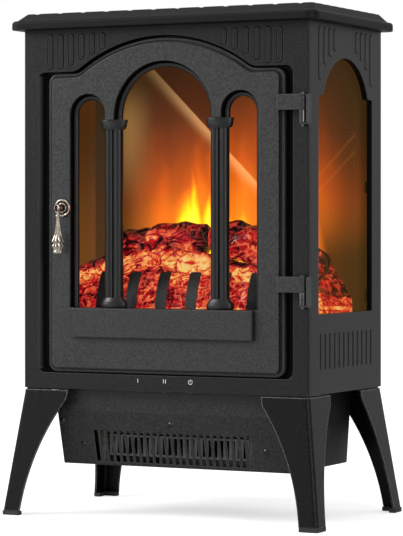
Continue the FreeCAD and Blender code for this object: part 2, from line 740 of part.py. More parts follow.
def make_finger(x):
    """One flat bar with a square, softened tip, bent back in a single gentle arc."""
    half = FINGER_W / 2
    rise = FINGER_TOP_Z - FLOOR_Z
    sweep = 2 * math.atan2(FINGER_LEAN, rise)
    radius = rise / math.sin(sweep)
    strip = Part.Face(Part.makePolygon([
        V(x - half, FINGER_Y, FLOOR_Z), V(x + half, FINGER_Y, FLOOR_Z), V(x + half, FINGER_Y + FINGER_T, FLOOR_Z),
        V(x - half, FINGER_Y + FINGER_T, FLOOR_Z), V(x - half, FINGER_Y, FLOOR_Z)]))
    bar = strip.revolve(V(x, FINGER_Y + radius, FLOOR_Z), V(-1, 0, 0), math.degrees(sweep))
    outline = box(x - half, x + half, FINGER_Y - 1, FINGER_Y + 40, FLOOR_Z, FINGER_TOP_Z)
    tips = [e for e in outline.Edges if e.BoundBox.YLength > 1 and e.BoundBox.ZMin > FINGER_TOP_Z - 0.01]
    return bar.common(outline.makeFillet(2.6, tips))


def make_grate_fingers():
    """Flat bars standing in front of the embers, leaning back at the top, on one common foot rail."""
    rail = box(-130, 130, FINGER_Y, FINGER_Y + 6, FLOOR_Z, FLOOR_Z + 2)
    return fuse([rail] + [make_finger((i - (FINGER_COUNT - 1) / 2) * FINGER_PITCH) for i in range(FINGER_COUNT)])


# Flame drive
def make_spindle():
    """Rod with bent mirror vanes that throws moving light on the flame screen."""
    axis = rod(SPINDLE_R, V(-SPINDLE_HALF_L - 8, SPINDLE_Y, SPINDLE_Z), X_AXIS, 2 * SPINDLE_HALF_L + 14)
    vanes = []
    count = 14
    pitch = 2 * (SPINDLE_HALF_L - 8) / count
    for i in range(count):
        x = -SPINDLE_HALF_L + 8 + (i + 0.5) * pitch
        vane = box(x - 7, x + 7, -SPINDLE_VANE_R, SPINDLE_VANE_R, -0.4, 0.4)
        vane.rotate(V(0, 0, 0), X_AXIS, 50 * i)
        vane.translate(V(0, SPINDLE_Y, SPINDLE_Z))
        vanes.append(vane)
    return fuse([axis] + vanes)


def make_spindle_bearing():
    x = -SPINDLE_HALF_L - 6
    bracket = box(x - 4, x, SPINDLE_Y - 9, BACK - 7, SPINDLE_Z - 9, SPINDLE_Z + 9)
    return bracket.cut(rod(SPINDLE_R + RUNNING, V(x - 5, SPINDLE_Y, SPINDLE_Z), X_AXIS, 8))


def make_flame_motor():
    """Small geared motor with a mounting plate; its bushing holds the driven end of the spindle."""
    x = SPINDLE_HALF_L + 1
    body = rod(17, V(x, SPINDLE_Y, SPINDLE_Z), X_AXIS, 20)
    plate = box(x, x + 1.5, SPINDLE_Y - 18, BACK - 7, SPINDLE_Z - 18, SPINDLE_Z + 18)
    terminals = box(x + 20, x + 26, SPINDLE_Y - 5, SPINDLE_Y + 5, SPINDLE_Z - 12, SPINDLE_Z - 4)
    motor = fuse([body, plate, terminals])
    return motor.cut(rod(SPINDLE_R + RUNNING, V(x - 1, SPINDLE_Y, SPINDLE_Z), X_AXIS, 8))


def make_led_board():
    y0 = SCREEN_Y + SCREEN_T + 3
    board = [box(-150, 150, y0, y0 + 26, 240, 241.6)]
    for i in range(12):
        board.append(Part.makeCone(2.6, 1.6, 4, V((i - 5.5) * 24, y0 + 13, 241.6), Z_AXIS))
    return fuse(board)


def make_ember_lamp():
    """Light strip under the translucent ember bed."""
    strip = [box(-150, 150, -30, -10, 222, 223.6)]
    for i in range(10):
        strip.append(Part.makeCone(2.6, 1.6, 4, V((i - 4.5) * 30, -20, 223.6), Z_AXIS))
    return fuse(strip)


def make_led_rails():
    """Brackets that carry the two light boards from the back and the floor apron."""
    y0 = SCREEN_Y + SCREEN_T + 3
    rails = []
    for x in (-120, 120):
        rails.append(box(x - 6, x + 6, y0 + 26, BACK - 7, 240, 241.6))
        rails.append(box(x - 6, x + 6, FIREBOX_FRONT + SHEET, -30, 222, 223.6))
    return group(rails)


# Fan heater
def housing_outline(inset):
    """Side view of the heater housing: y, z points, with the inset measured square to each wall."""
    slope_front = (HOUSING_FRONT_LOW_Y - HOUSING_FRONT_TOP_Y) / (HOUSING_KNEE_Z - HOUSING_Z0)
    slope_back = (HOUSING_BACK_TOP_Y - HOUSING_BACK_LOW_Y) / (BODY_Z0 - HOUSING_Z0)
    top = BODY_Z0 + (1 if inset else 0)
    low = HOUSING_Z0 + inset
    front_low = HOUSING_FRONT_LOW_Y - slope_front * inset + inset
    back_low = HOUSING_BACK_LOW_Y + slope_back * inset - inset
    return [
        (HOUSING_FRONT_TOP_Y + inset, top),
        (HOUSING_FRONT_TOP_Y + inset, HOUSING_KNEE_Z),
        (front_low, low),
        (back_low, low),
        (HOUSING_BACK_TOP_Y - inset, top),
    ]


def yz_prism(points, x0, x1):
    wire = Part.makePolygon([V(x0, y, z) for y, z in points] + [V(x0, points[0][0], points[0][1])])
    return Part.Face(wire).extrude(V(x1 - x0, 0, 0))


def grille_slots(y0, y1):
    pitch = (2 * GRILLE_HALF_W - GRILLE_SLOT_W) / (GRILLE_COUNT - 1)
    slots = []
    for i in range(GRILLE_COUNT):
        x = -GRILLE_HALF_W + i * pitch
        slots.append(box(x, x + GRILLE_SLOT_W, y0, y1, GRILLE_Z[0], GRILLE_Z[1]))
    return slots


def make_housing():
    """Open-topped sheet tray under the body, with the hot-air slots in its sloping front."""
    outer = yz_prism(housing_outline(0), -HOUSING_HALF_W, HOUSING_HALF_W)
    long_edges = [e for e in outer.Edges if e.BoundBox.XLength > 100 and e.BoundBox.ZMax < HOUSING_Z0 + 0.1]
    outer = outer.makeFillet(2.0, long_edges)
    inner = yz_prism(housing_outline(SHEET), -HOUSING_HALF_W + SHEET, HOUSING_HALF_W - SHEET)
    tray = outer.cut(inner)
    intake = [box((i - 8) * 12 - 2.5, (i - 8) * 12 + 2.5, 80, 110, 86, 126) for i in range(17)]
    return cut(tray, grille_slots(-100, -60) + intake + screw_holes(housing_screw_places()))


def make_heating_element():
    """Ceramic heater bars with pressed metal fins between them."""
    bars = []
    for i in range(25):
        x = -92 + i * 7.6
        bars.append(box(x, x + 3.4, -66, -54, 74, 94))
    rails = [box(-94, 94.4, -66, -54, 71.5, 74), box(-94, 94.4, -66, -54, 94, 96.5)]
    return fuse(rails + bars)


def make_element_frame():
    """Insulating frame that holds the element across the housing."""
    ends = [box(-102, -94.3, -70, -50, HOUSING_Z0 + SHEET + 0.1, 99), box(94.7, 102, -70, -50, HOUSING_Z0 + SHEET + 0.1, 99)]
    top = box(-102, 102, -70, -50, 99, 101)
    return fuse(ends + [top])


def make_blower_wheel():
    """Cross-flow wheel on its shaft: curved-in blades between rings."""
    r = WHEEL_R
    x0 = -WHEEL_HALF_L
    parts = [rod(2.5, V(x0 - 13, 0, 0), X_AXIS, 2 * WHEEL_HALF_L + 22)]
    for x in (x0, -1.0, WHEEL_HALF_L - 2):
        ring = rod(r, V(x, 0, 0), X_AXIS, 2)
        if x == -1.0:
            ring = ring.cut(rod(r - 7, V(x, 0, 0), X_AXIS, 2))
        parts.append(ring)
    for i in range(WHEEL_BLADES):
        blade = box(x0 + 2, WHEEL_HALF_L - 2, r - 7, r - 0.4, -0.4, 0.4)
        blade.rotate(V(0, r - 3.5, 0), X_AXIS, 28)
        blade.rotate(V(0, 0, 0), X_AXIS, 360.0 * i / WHEEL_BLADES)
        parts.append(blade)
    wheel = fuse(parts)
    wheel.translate(V(0, WHEEL_Y, WHEEL_Z))
    return wheel


def make_blower_scroll():
    """Sheet air guide round the back and top of the wheel, leading to the element."""
    clearance = 4.0
    r0 = WHEEL_R + clearance
    x0 = -WHEEL_HALF_L - 3
    length = 2 * WHEEL_HALF_L + 6
    shell = rod(r0 + 1.2, V(x0, WHEEL_Y, WHEEL_Z), X_AXIS, length)
    shell = shell.cut(rod(r0, V(x0 - 1, WHEEL_Y, WHEEL_Z), X_AXIS, length + 2))
    shell = shell.cut(box(x0 - 1, x0 + length + 1, WHEEL_Y - 60, WHEEL_Y, WHEEL_Z - 60, WHEEL_Z + 60))
    shell = shell.cut(box(x0 - 1, x0 + length + 1, WHEEL_Y + 8, WHEEL_Y + 60, WHEEL_Z - 12, WHEEL_Z + 14))
    roof = box(x0, x0 + length, -49.5, WHEEL_Y, WHEEL_Z + r0, WHEEL_Z + r0 + 1.2)
    floor = box(x0, x0 + length, -49.5, WHEEL_Y, WHEEL_Z - r0 - 1.2, WHEEL_Z - r0)
    guide = fuse([shell.Solids[0], roof] if shell.Solids[0].BoundBox.ZMax > WHEEL_Z else [shell.Solids[0], floor])
    other = fuse([shell.Solids[1], floor] if shell.Solids[1].BoundBox.ZMin < WHEEL_Z - 1 else [shell.Solids[1], roof])
    return group([guide, other])


def make_blower_brackets():
    """End plates that stand on the housing floor: a bearing for the wheel and a seat for its motor."""
    plates = []
    for x in (-WHEEL_HALF_L - 12, WHEEL_HALF_L + 6):
        plate = box(x, x + 2, WHEEL_Y - 34, WHEEL_Y + 34, HOUSING_Z0 + SHEET, WHEEL_Z + 32)
        plates.append(plate.cut(rod(2.5 + RUNNING, V(x - 1, WHEEL_Y, WHEEL_Z), X_AXIS, 4)))
    return group(plates)


def make_blower_motor():
    x = WHEEL_HALF_L + 8
    body = rod(21, V(x, WHEEL_Y, WHEEL_Z), X_AXIS, 30)
    edges = [e for e in body.Edges if e.BoundBox.XLength < 0.01]
    body = body.makeFillet(3.0, edges)
    return body.cut(rod(2.5 + RUNNING, V(x - 1, WHEEL_Y, WHEEL_Z), X_AXIS, 5))


def make_thermal_cutout():
    disc = rod(8, V(60, -60, 101), Z_AXIS, 5)
    tabs = [box(60 - 1 + dx, 60 + 1 + dx, -62.5, -57.5, 106, 113) for dx in (-5, 5)]
    return fuse([disc] + tabs)


# Electrics
def make_cable_gland():
    """Flanged bush in the back panel that the supply lead passes through."""
    start = V(GLAND_X, BACK - SHEET - 5, GLAND_Z)
    gland = [
        rod(GLAND_HOLE_R, start, Y_AXIS, SHEET + 5),
        rod(11.5, V(GLAND_X, BACK, GLAND_Z), Y_AXIS, 2.5),
        Part.makeCone(9.5, 6.5, 8, V(GLAND_X, BACK + 2.5, GLAND_Z), Y_AXIS),
        rod(10.5, start - V(0, 2, 0), Y_AXIS, 2.9),
    ]
    return fuse(gland).cut(rod(GLAND_BORE_R, start - V(0, 5, 0), Y_AXIS, 30))


def make_terminal_block():
    z0 = BODY_Z0 + SHEET
    block = box(128, 158, 66, 84, z0, z0 + 14)
    wells = [rod(2.2, V(134 + 9 * i, 75, z0 + 8), Z_AXIS, 10) for i in range(3)]
    return cut(block, wells)


def make_control_board():
    z0 = BODY_Z0 + SHEET + 6
    board = [box(-170, -130, -40, 40, z0, z0 + 1.6)]
    board += [box(-165, -150, -30 + 22 * i, -14 + 22 * i, z0 + 1.6, z0 + 14) for i in range(3)]
    board += [rod(2.2, V(x, y, BODY_Z0 + SHEET), Z_AXIS, 6) for x in (-166, -134) for y in (-36, 36)]
    return fuse(board)


def make_switch_body(x):
    """Snap-in switch case with a rocker well opening downwards."""
    half = ROCKER_L / 2
    case = box(x - 6.9, x + 6.9, SWITCH_Y - 4.5, SWITCH_Y + 4.5, BODY_Z0, BODY_Z0 + 13)
    collar = box(x - 8, x + 8, SWITCH_Y - 5.2, SWITCH_Y + 5.2, BODY_Z0 - 0.8, BODY_Z0)
    case = case.fuse(collar)
    well = box(x - half - 1, x + half + 1, SWITCH_Y - ROCKER_W / 2 - 0.35, SWITCH_Y + ROCKER_W / 2 + 0.35,
               BODY_Z0 - 2, BODY_Z0 + 7.5)
    pivot = rod(0.9 + RUNNING, V(x, SWITCH_Y - 4.4, ROCKER_PIVOT_Z), Y_AXIS, 8.8)
    return cut(case, [well, pivot]).removeSplitter()


def make_rocker(x):
    """See-saw key on a cross pin, with a shallow V face, tipped to its off side."""
    half = ROCKER_L / 2
    low = BODY_Z0 - 1.7
    outline = [(x - half, low), (x, low + 0.9), (x + half, low), (x + half - 0.6, ROCKER_PIVOT_Z + 1.2),
               (x - half + 0.6, ROCKER_PIVOT_Z + 1.2)]
    key = prism(polygon(outline), SWITCH_Y - ROCKER_W / 2, SWITCH_Y + ROCKER_W / 2)
    pin = rod(0.9, V(x, SWITCH_Y - 4.2, ROCKER_PIVOT_Z), Y_AXIS, 8.4)
    rocker = key.fuse(pin).removeSplitter()
    rocker.rotate(V(x, SWITCH_Y, ROCKER_PIVOT_Z), Y_AXIS, -ROCKER_TILT)
    return rocker


# Door
def door_opening():
    """The window in the door face: three arches over one tall rectangle, with the ledge standing in its foot."""
    main = prism(obround(0, SPRING_Z - 2 * MAIN_ARCH_R, SPRING_Z + MAIN_ARCH_R, 2 * MAIN_ARCH_R), FRONT - 5, FRONT + 30)
    tool = [main, box(-OPENING_HALF_W, OPENING_HALF_W, FRONT - 5, FRONT + 30, LEDGE_Z1, CAPITAL_Z1)]
    for sx in (-1, 1):
        x = sx * SIDE_ARCH_X
        top = SIDE_SPRING_Z + SIDE_ARCH_R
        tool.append(prism(obround(x, top - 100, top, 2 * SIDE_ARCH_R), FRONT - 5, FRONT + 30))
    return tool


def make_door_face():
    """Pressed door skin: flat face, shallow turned edge and a rim flange all round."""
    face = prism(arched_outline(FACE_HALF_W, FACE_Z0, FACE_SHOULDER_Z, FACE_ARCH_R, 6), FRONT, FRONT + DOOR_T)
    soft = [e for e in face.Edges if e.BoundBox.YMax < FRONT + 0.01]
    face = face.makeFillet(0.8, soft)
    rim = prism(arched_outline(FACE_HALF_W + RIM_OUT, FACE_Z0 - RIM_OUT, FACE_SHOULDER_Z + RIM_OUT,
                               FACE_ARCH_R + RIM_OUT, 6 + RIM_OUT), FRONT + RIM_BACK, FRONT + DOOR_T)
    rim_edge = [e for e in rim.Edges if e.BoundBox.YMax < FRONT + RIM_BACK + 0.01]
    rim = rim.makeFillet(1.6, rim_edge)
    gutter_out = prism(arched_outline(FACE_HALF_W + 2.4, FACE_Z0 - 2.4, FACE_SHOULDER_Z + 2.4, FACE_ARCH_R + 2.4, 8.4),
                       FRONT + RIM_BACK - 1, FRONT + RIM_BACK + 1.6)
    rim = rim.cut(gutter_out)
    hollow = prism(arched_outline(FACE_HALF_W - SHEET, FACE_Z0 + SHEET, FACE_SHOULDER_Z - SHEET, FACE_ARCH_R - SHEET,
                                  4.5), FRONT + 2 * SHEET, FRONT + DOOR_T + 1)
    skin = rim.fuse(face).cut(hollow)
    skin = cut(skin, door_opening())
    seat = box(-LEDGE_HALF_W, LEDGE_HALF_W, FRONT - 1, FRONT + DOOR_T + 1, LEDGE_Z0, LEDGE_Z1)
    return skin.cut(seat).removeSplitter()


def make_door_back_frame():
    """Stiffening frame behind the skin that the beads, columns and glass sit on."""
    outer = arched_outline(FACE_HALF_W - SHEET - 0.4, FACE_Z0 + SHEET + 0.4, FACE_SHOULDER_Z - SHEET - 0.4,
                           FACE_ARCH_R - SHEET - 0.4, 4.5)
    frame = prism(outer, FRONT + 2 * SHEET, FRONT + DOOR_T)
    return cut(frame, door_opening() + [box(-LEDGE_HALF_W, LEDGE_HALF_W, FRONT, FRONT + 20, LEDGE_Z0, LEDGE_Z1)])


def bead_path(kind):
    y = BEAD_Y

    def lift(edge):
        edge.translate(V(0, y, 0))
        return edge

    if kind == "main":
        r = MAIN_ARCH_R - BEAD_R
        z = CAPITAL_Z1
        edges = [segment((r, z), (r, SPRING_Z)), arc((0, SPRING_Z), r, 0, 180), segment((-r, SPRING_Z), (-r, z))]
    else:
        r = SIDE_ARCH_R - BEAD_R
        x = SIDE_ARCH_X
        edges = [segment((x - r, CAPITAL_Z1), (x - r, SIDE_SPRING_Z)), arc((x, SIDE_SPRING_Z), r, 180, 0),
                 segment((x + r, SIDE_SPRING_Z), (x + r, LEDGE_Z1))]
    return Part.Wire([lift(e) for e in edges])


def make_bead(kind):
    path = bead_path(kind)
    start = path.OrderedVertexes[0].Point
    circle = Part.Wire(Part.Circle(V(start.x, start.y, start.z), Z_AXIS, BEAD_R).toShape())
    return path.makePipeShell([circle], True, True)


def make_arch_beads():
    side = make_bead("side")
    return group([make_bead("main"), side, mirror_x(side)])


def oval_turning(x, z0, profile):
    """Lofted oval moulding: each step is (half width across, height above z0)."""
    depth_share = 0.5
    wires = []
    for half, height in profile:
        ellipse = Part.Ellipse(V(x, COLUMN_Y, z0 + height), half, half * depth_share)
        wires.append(Part.Wire(ellipse.toShape()))
    return Part.makeLoft(wires, True, True)


def make_column(sx):
    """Twin shafts under one capital, on one bell-shaped base."""
    x = sx * COLUMN_X
    base_top = LEDGE_Z1 + BASE_H
    offset = SHAFT_R - SHAFT_MERGE
    length = CAPITAL_Z0 - base_top
    shafts = [rod(SHAFT_R, V(x + d, COLUMN_Y, base_top), Z_AXIS, length) for d in (-offset, offset)]
    base = oval_turning(x, LEDGE_Z1, [(16.4, 0), (17.2, 1.6), (17.2, 4.2), (16, 7.8), (13.8, 10.6), (12.6, BASE_H)])
    height = CAPITAL_Z1 - CAPITAL_Z0
    capital = oval_turning(x, CAPITAL_Z0, [
        (13.4, 0), (15.0, 1.2), (16.2, 3.4), (16.8, 6.4), (16.8, 8.0), (17.6, 8.7), (17.6, height - 0.6), (17.1, height)])
    return fuse([shafts[0].fuse(shafts[1]), base, capital])


def make_ledge():
    """Folded shelf at the foot of the window, proud of the door face."""
    ledge = box(-LEDGE_HALF_W, LEDGE_HALF_W, FRONT - LEDGE_PROUD, LEDGE_BACK_Y, LEDGE_Z0, LEDGE_Z1)
    front = [e for e in ledge.Edges if e.BoundBox.YMax < FRONT - LEDGE_PROUD + 0.01]
    ledge = ledge.makeFillet(1.6, front)
    wall = 2.0
    hollow = box(-LEDGE_HALF_W + wall, LEDGE_HALF_W - wall, FRONT - LEDGE_PROUD + wall, LEDGE_BACK_Y + 1,
                 LEDGE_Z0 + wall, LEDGE_Z1 - wall)
    return ledge.cut(hollow)


def make_door_glass():
    return prism(arched_outline(*GLASS_OUTLINE), DOOR_GLASS_Y, DOOR_GLASS_Y + GLASS_T)


def make_glass_frame():
    """Deep ring on the back of the door, with a rear lip that the pane is bonded to."""
    lip = 1.5
    y_end = DOOR_GLASS_Y + GLASS_T + lip
    ring = prism(arched_outline(*GLASS_RING_OUTLINE), FRONT + DOOR_T, y_end)
    pocket = prism(arched_outline(*GLASS_OUTLINE), FRONT, DOOR_GLASS_Y + GLASS_T)
    window = prism(arched_outline(*GLASS_SIGHT_OUTLINE), FRONT, y_end + 1)
    return ring.cut(pocket).cut(window)


def make_hinge_strap(z0):
    """Flat-fronted strap welded to the door rim, with a round end drilled for the pin."""
    front = PIN_Y - EYE_R
    bar = box(152, PIN_X, front, FRONT - 0.6, z0, z0 + STRAP_H)
    eye = rod(EYE_R, V(PIN_X, PIN_Y, z0), Z_AXIS, STRAP_H)
    root = FACE_HALF_W + RIM_OUT
    tongue = box(FACE_HALF_W + 0.3, root - 0.4, FRONT - 0.6, FRONT + RIM_BACK, z0, z0 + STRAP_H)
    cheek = box(150.4, 152, front + 1.6, FRONT - 0.6, z0, z0 + STRAP_H)
    strap = fuse([bar, eye, tongue, cheek])
    return strap.cut(rod(PIN_R + RUNNING, V(PIN_X, PIN_Y, z0 - 1), Z_AXIS, STRAP_H + 2))


def make_hinge_bracket(z0):
    """Cabinet leaf: an upright beside the strap and a shelf under the knuckle that carries the pin."""
    shelf_z = z0 - DOOR_GAP - KNUCKLE_H
    x0 = HALF_W + 0.1
    x1 = x0 + 2.2
    y0 = PIN_Y - 2.9
    upright = box(x0, x1, y0, FRONT + 1.4, shelf_z - 2, z0 + STRAP_H)
    corners = [e for e in upright.Edges if e.BoundBox.XLength > 1 and e.BoundBox.YMax < y0 + 0.01]
    upright = upright.makeFillet(2.5, corners)
    shelf = box(PIN_X - 3, x0 + 0.5, y0 + 0.6, FRONT - 0.1, shelf_z - 2, shelf_z)
    nose = rod(4.0, V(PIN_X, PIN_Y, shelf_z - 2), Z_AXIS, 2)
    leaf = fuse([upright, shelf, nose])
    return leaf.cut(rod(PIN_R, V(PIN_X, PIN_Y, shelf_z - 3), Z_AXIS, 6))


def make_hinge_knuckle(z0):
    low = z0 - DOOR_GAP - KNUCKLE_H
    knuckle = rod(KNUCKLE_R, V(PIN_X, PIN_Y, low), Z_AXIS, KNUCKLE_H)
    ends = [e for e in knuckle.Edges if e.BoundBox.ZLength < 0.01]
    knuckle = knuckle.makeFillet(0.6, ends)
    return knuckle.cut(rod(PIN_R, V(PIN_X, PIN_Y, low - 1), Z_AXIS, KNUCKLE_H + 2))


def make_hinge_pin(z0):
    low = z0 - DOOR_GAP - KNUCKLE_H - 4.5
    top = z0 + STRAP_H + DOOR_GAP
    pin = rod(PIN_R, V(PIN_X, PIN_Y, low), Z_AXIS, top - low)
    head = rod(2.4, V(PIN_X, PIN_Y, top), Z_AXIS, 1.4)
    return pin.fuse(head)


def make_rosette():
    """Stepped round backplate of the handle."""
    steps = [(ROSETTE_R, 0, 1.4), (8.6, 1.4, 1.0), (6.8, 2.4, 1.2)]
    discs = []
    for r, start, height in steps:
        disc = rod(r, V(HANDLE_X, FRONT - start - height, HANDLE_Z), Y_AXIS, height)
        rim = [e for e in disc.Edges if e.BoundBox.YMax < FRONT - start - height + 0.01]
        discs.append(disc.makeFillet(0.6, rim))
    return fuse(discs)


def make_handle_post():
    """Post with a ball nose, a slot for the pendant's eye, and the cross pin riveted into it."""
    post = rod(3.2, V(HANDLE_X, FRONT - 14.5, HANDLE_Z), Y_AXIS, 10.9)
    ball = Part.makeSphere(4.6, V(HANDLE_X, HANDLE_PIN_Y, HANDLE_Z))
    post = post.fuse(ball)
    slot = box(HANDLE_X - 1.4, HANDLE_X + 1.4, FRONT - 30, HANDLE_PIN_Y + 3.6, HANDLE_Z - 12, HANDLE_Z + 2.6)
    hole = rod(0.9, V(HANDLE_X - 6, HANDLE_PIN_Y, HANDLE_Z), X_AXIS, 12)
    post = post.cut(slot).cut(hole)
    pin = rod(0.9, V(HANDLE_X - 4.6, HANDLE_PIN_Y, HANDLE_Z), X_AXIS, 9.2)
    return post.fuse(pin)


def make_pendant():
    """Drop pull: an eye on the pin, a collar, a slim leaf that flares, and a turned tip."""
    profile = [
        (0.0, -9.0), (2.6, -9.0), (4.4, -10.2), (4.4, -11.4), (2.6, -12.8), (2.9, -16.0), (3.9, -24.0), (5.2, -32.0),
        (7.0, -38.5), (7.4, -40.5), (6.2, -42.2), (6.8, -44.0), (7.0, -45.6), (5.2, -47.4), (4.0, -48.6), (5.0, -50.0),
        (5.0, -51.6), (3.4, -PENDANT_LEN + 1.0), (0.0, -PENDANT_LEN),
    ]
    flat = 0.62
    points = [V(r, 0, h) for r, h in profile]
    face = Part.Face(Part.makePolygon(points + [points[0]]))
    body = face.revolve(V(0, 0, 0), Z_AXIS, 360)
    squeeze = FreeCAD.Matrix()
    squeeze.scale(1.0, flat, 1.0)
    body = body.transformGeometry(squeeze)
    neck = box(-1.15, 1.15, -1.8, 1.8, -9.6, 0)
    eye = rod(2.2, V(-1.15, 0, 0), X_AXIS, 2.3)
    pendant = fuse([body, neck, eye])
    pendant = pendant.cut(rod(0.9 + RUNNING, V(-5, 0, 0), X_AXIS, 10))
    pendant.translate(V(HANDLE_X, HANDLE_PIN_Y, HANDLE_Z))
    return pendant


def make_catch_magnet():
    """Magnet block behind the recess lip, opposite the hinges."""
    y = FRONT + RECESS_DEPTH
    return box(-158, -142, y, y + 8, 358, 376)


def make_catch_plate():
    """Keeper on the back of the door rim, just short of the recess floor."""
    y0 = FRONT + DOOR_T
    return box(-153, -145, y0, FRONT + RECESS_DEPTH - SHEET - 0.5, 361, 373)


def make_root_parts():
    save("top_lid", make_lid())
    save("front_panel", make_front_panel())
    side = make_side_panel()
    save("side_panel_right", side)
    save("side_panel_left", mirror_x(side))
    save("back_panel", make_back_panel())
    save("bottom_plate", make_bottom_plate())
    save("corner_posts", make_corner_posts())
    names = ("leg_back_right", "leg_back_left", "leg_front_right", "leg_front_left")
    for name, leg in zip(names, four_corners(make_leg())):
        save(name, leg)
    save("foot_pads", group(four_corners(make_foot_pad())))
    places = leg_screw_places() + back_screw_places() + housing_screw_places()
    save("case_screws", group([screw(*place) for place in places]))


def make_firebox_parts():
    glass = side_glass_shape()
    save("side_glass_right", glass)
    save("side_glass_left", mirror_x(glass))
    save("side_glass_clips", make_glass_clips())
    save("firebox_floor", make_firebox_floor())
    save("firebox_ceiling", make_ceiling())
    save("flame_screen", make_flame_screen())
    save("back_reflector", make_back_reflector())
    save("log_set", make_log_set())
    save("ember_bed", make_ember_bed())
    save("grate_fingers", make_grate_fingers())
    save("flame_spindle", make_spindle())
    save("spindle_bearing", make_spindle_bearing())
    save("flame_motor", make_flame_motor())
    save("flame_led_board", make_led_board())
    save("ember_led_board", make_ember_lamp())
    save("led_brackets", make_led_rails())


def make_heater_parts():
    save("heater_housing", make_housing())
    save("heating_element", make_heating_element())
    save("element_frame", make_element_frame())
    save("blower_wheel", make_blower_wheel())
    save("blower_scroll", make_blower_scroll())
    save("blower_brackets", make_blower_brackets())
    save("blower_motor", make_blower_motor())
    save("thermal_cutout", make_thermal_cutout())


def make_electric_parts():
    save("cable_gland", make_cable_gland())
    save("terminal_block", make_terminal_block())
    save("control_board", make_control_board())
    save("switch_bodies", group([make_switch_body(x) for x in SWITCH_X]))
    for name, x in zip(("low_heat_rocker", "high_heat_rocker", "power_rocker"), SWITCH_X):
        save(name, make_rocker(x))


def make_door_parts():
    save("door_face", make_door_face())
    save("door_back_frame", make_door_back_frame())
    save("arch_beads", make_arch_beads())
    save("window_columns", group([make_column(-1), make_column(1)]))
    save("door_ledge", make_ledge())
    save("door_glass", make_door_glass())
    save("door_glass_frame", make_glass_frame())
    save("hinge_straps", group([make_hinge_strap(z) for z in HINGE_Z]))
    save("hinge_brackets", group([make_hinge_bracket(z) for z in HINGE_Z]))
    save("hinge_knuckles", group([make_hinge_knuckle(z) for z in HINGE_Z]))
    save("hinge_pins", group([make_hinge_pin(z) for z in HINGE_Z]))
    save("handle_rosette", make_rosette())
    save("handle_post", make_handle_post())
    save("handle_pendant", make_pendant())
    save("catch_magnet", make_catch_magnet())
    save("catch_plate", make_catch_plate())


os.makedirs("parts", exist_ok=True)
make_root_parts()
make_firebox_parts()
make_heater_parts()
make_electric_parts()
make_door_parts()
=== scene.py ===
"""Looks for a free-standing electric fireplace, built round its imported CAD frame.

Metres, +Z up, the front faces -Y.
"""

import json
import math
import random

import bpy
from mathutils import Matrix, Vector, noise

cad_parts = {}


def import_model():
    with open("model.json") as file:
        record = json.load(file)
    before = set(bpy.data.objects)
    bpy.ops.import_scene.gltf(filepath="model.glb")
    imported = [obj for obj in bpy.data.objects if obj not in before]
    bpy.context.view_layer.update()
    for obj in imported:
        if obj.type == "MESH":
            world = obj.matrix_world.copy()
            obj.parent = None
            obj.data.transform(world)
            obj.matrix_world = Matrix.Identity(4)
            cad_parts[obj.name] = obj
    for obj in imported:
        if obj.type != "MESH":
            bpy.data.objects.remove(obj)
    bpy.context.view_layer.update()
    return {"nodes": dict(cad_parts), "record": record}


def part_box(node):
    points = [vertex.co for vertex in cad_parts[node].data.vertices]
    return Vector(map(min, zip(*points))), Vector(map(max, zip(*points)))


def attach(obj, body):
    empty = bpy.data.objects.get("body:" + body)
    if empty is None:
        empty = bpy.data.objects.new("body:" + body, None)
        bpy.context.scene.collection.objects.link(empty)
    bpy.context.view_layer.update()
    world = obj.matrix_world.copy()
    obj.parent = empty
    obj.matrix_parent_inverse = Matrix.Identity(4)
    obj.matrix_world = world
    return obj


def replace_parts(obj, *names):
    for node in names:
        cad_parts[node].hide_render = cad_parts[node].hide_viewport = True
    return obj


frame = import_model()
nodes = frame["nodes"]
# The crumpled relief takes its offsets from this seed; unseeded, they would change with every run
noise.seed_set(7)


# Shader helpers
# A Mix node's sockets for colours: its factor, its two colours and its result
RGBA_MIX_SOCKETS = (0, 6, 7)
RGBA_MIX_RESULT = 2
BLACK = (0.0, 0.0, 0.0)
WHITE = (1.0, 1.0, 1.0)


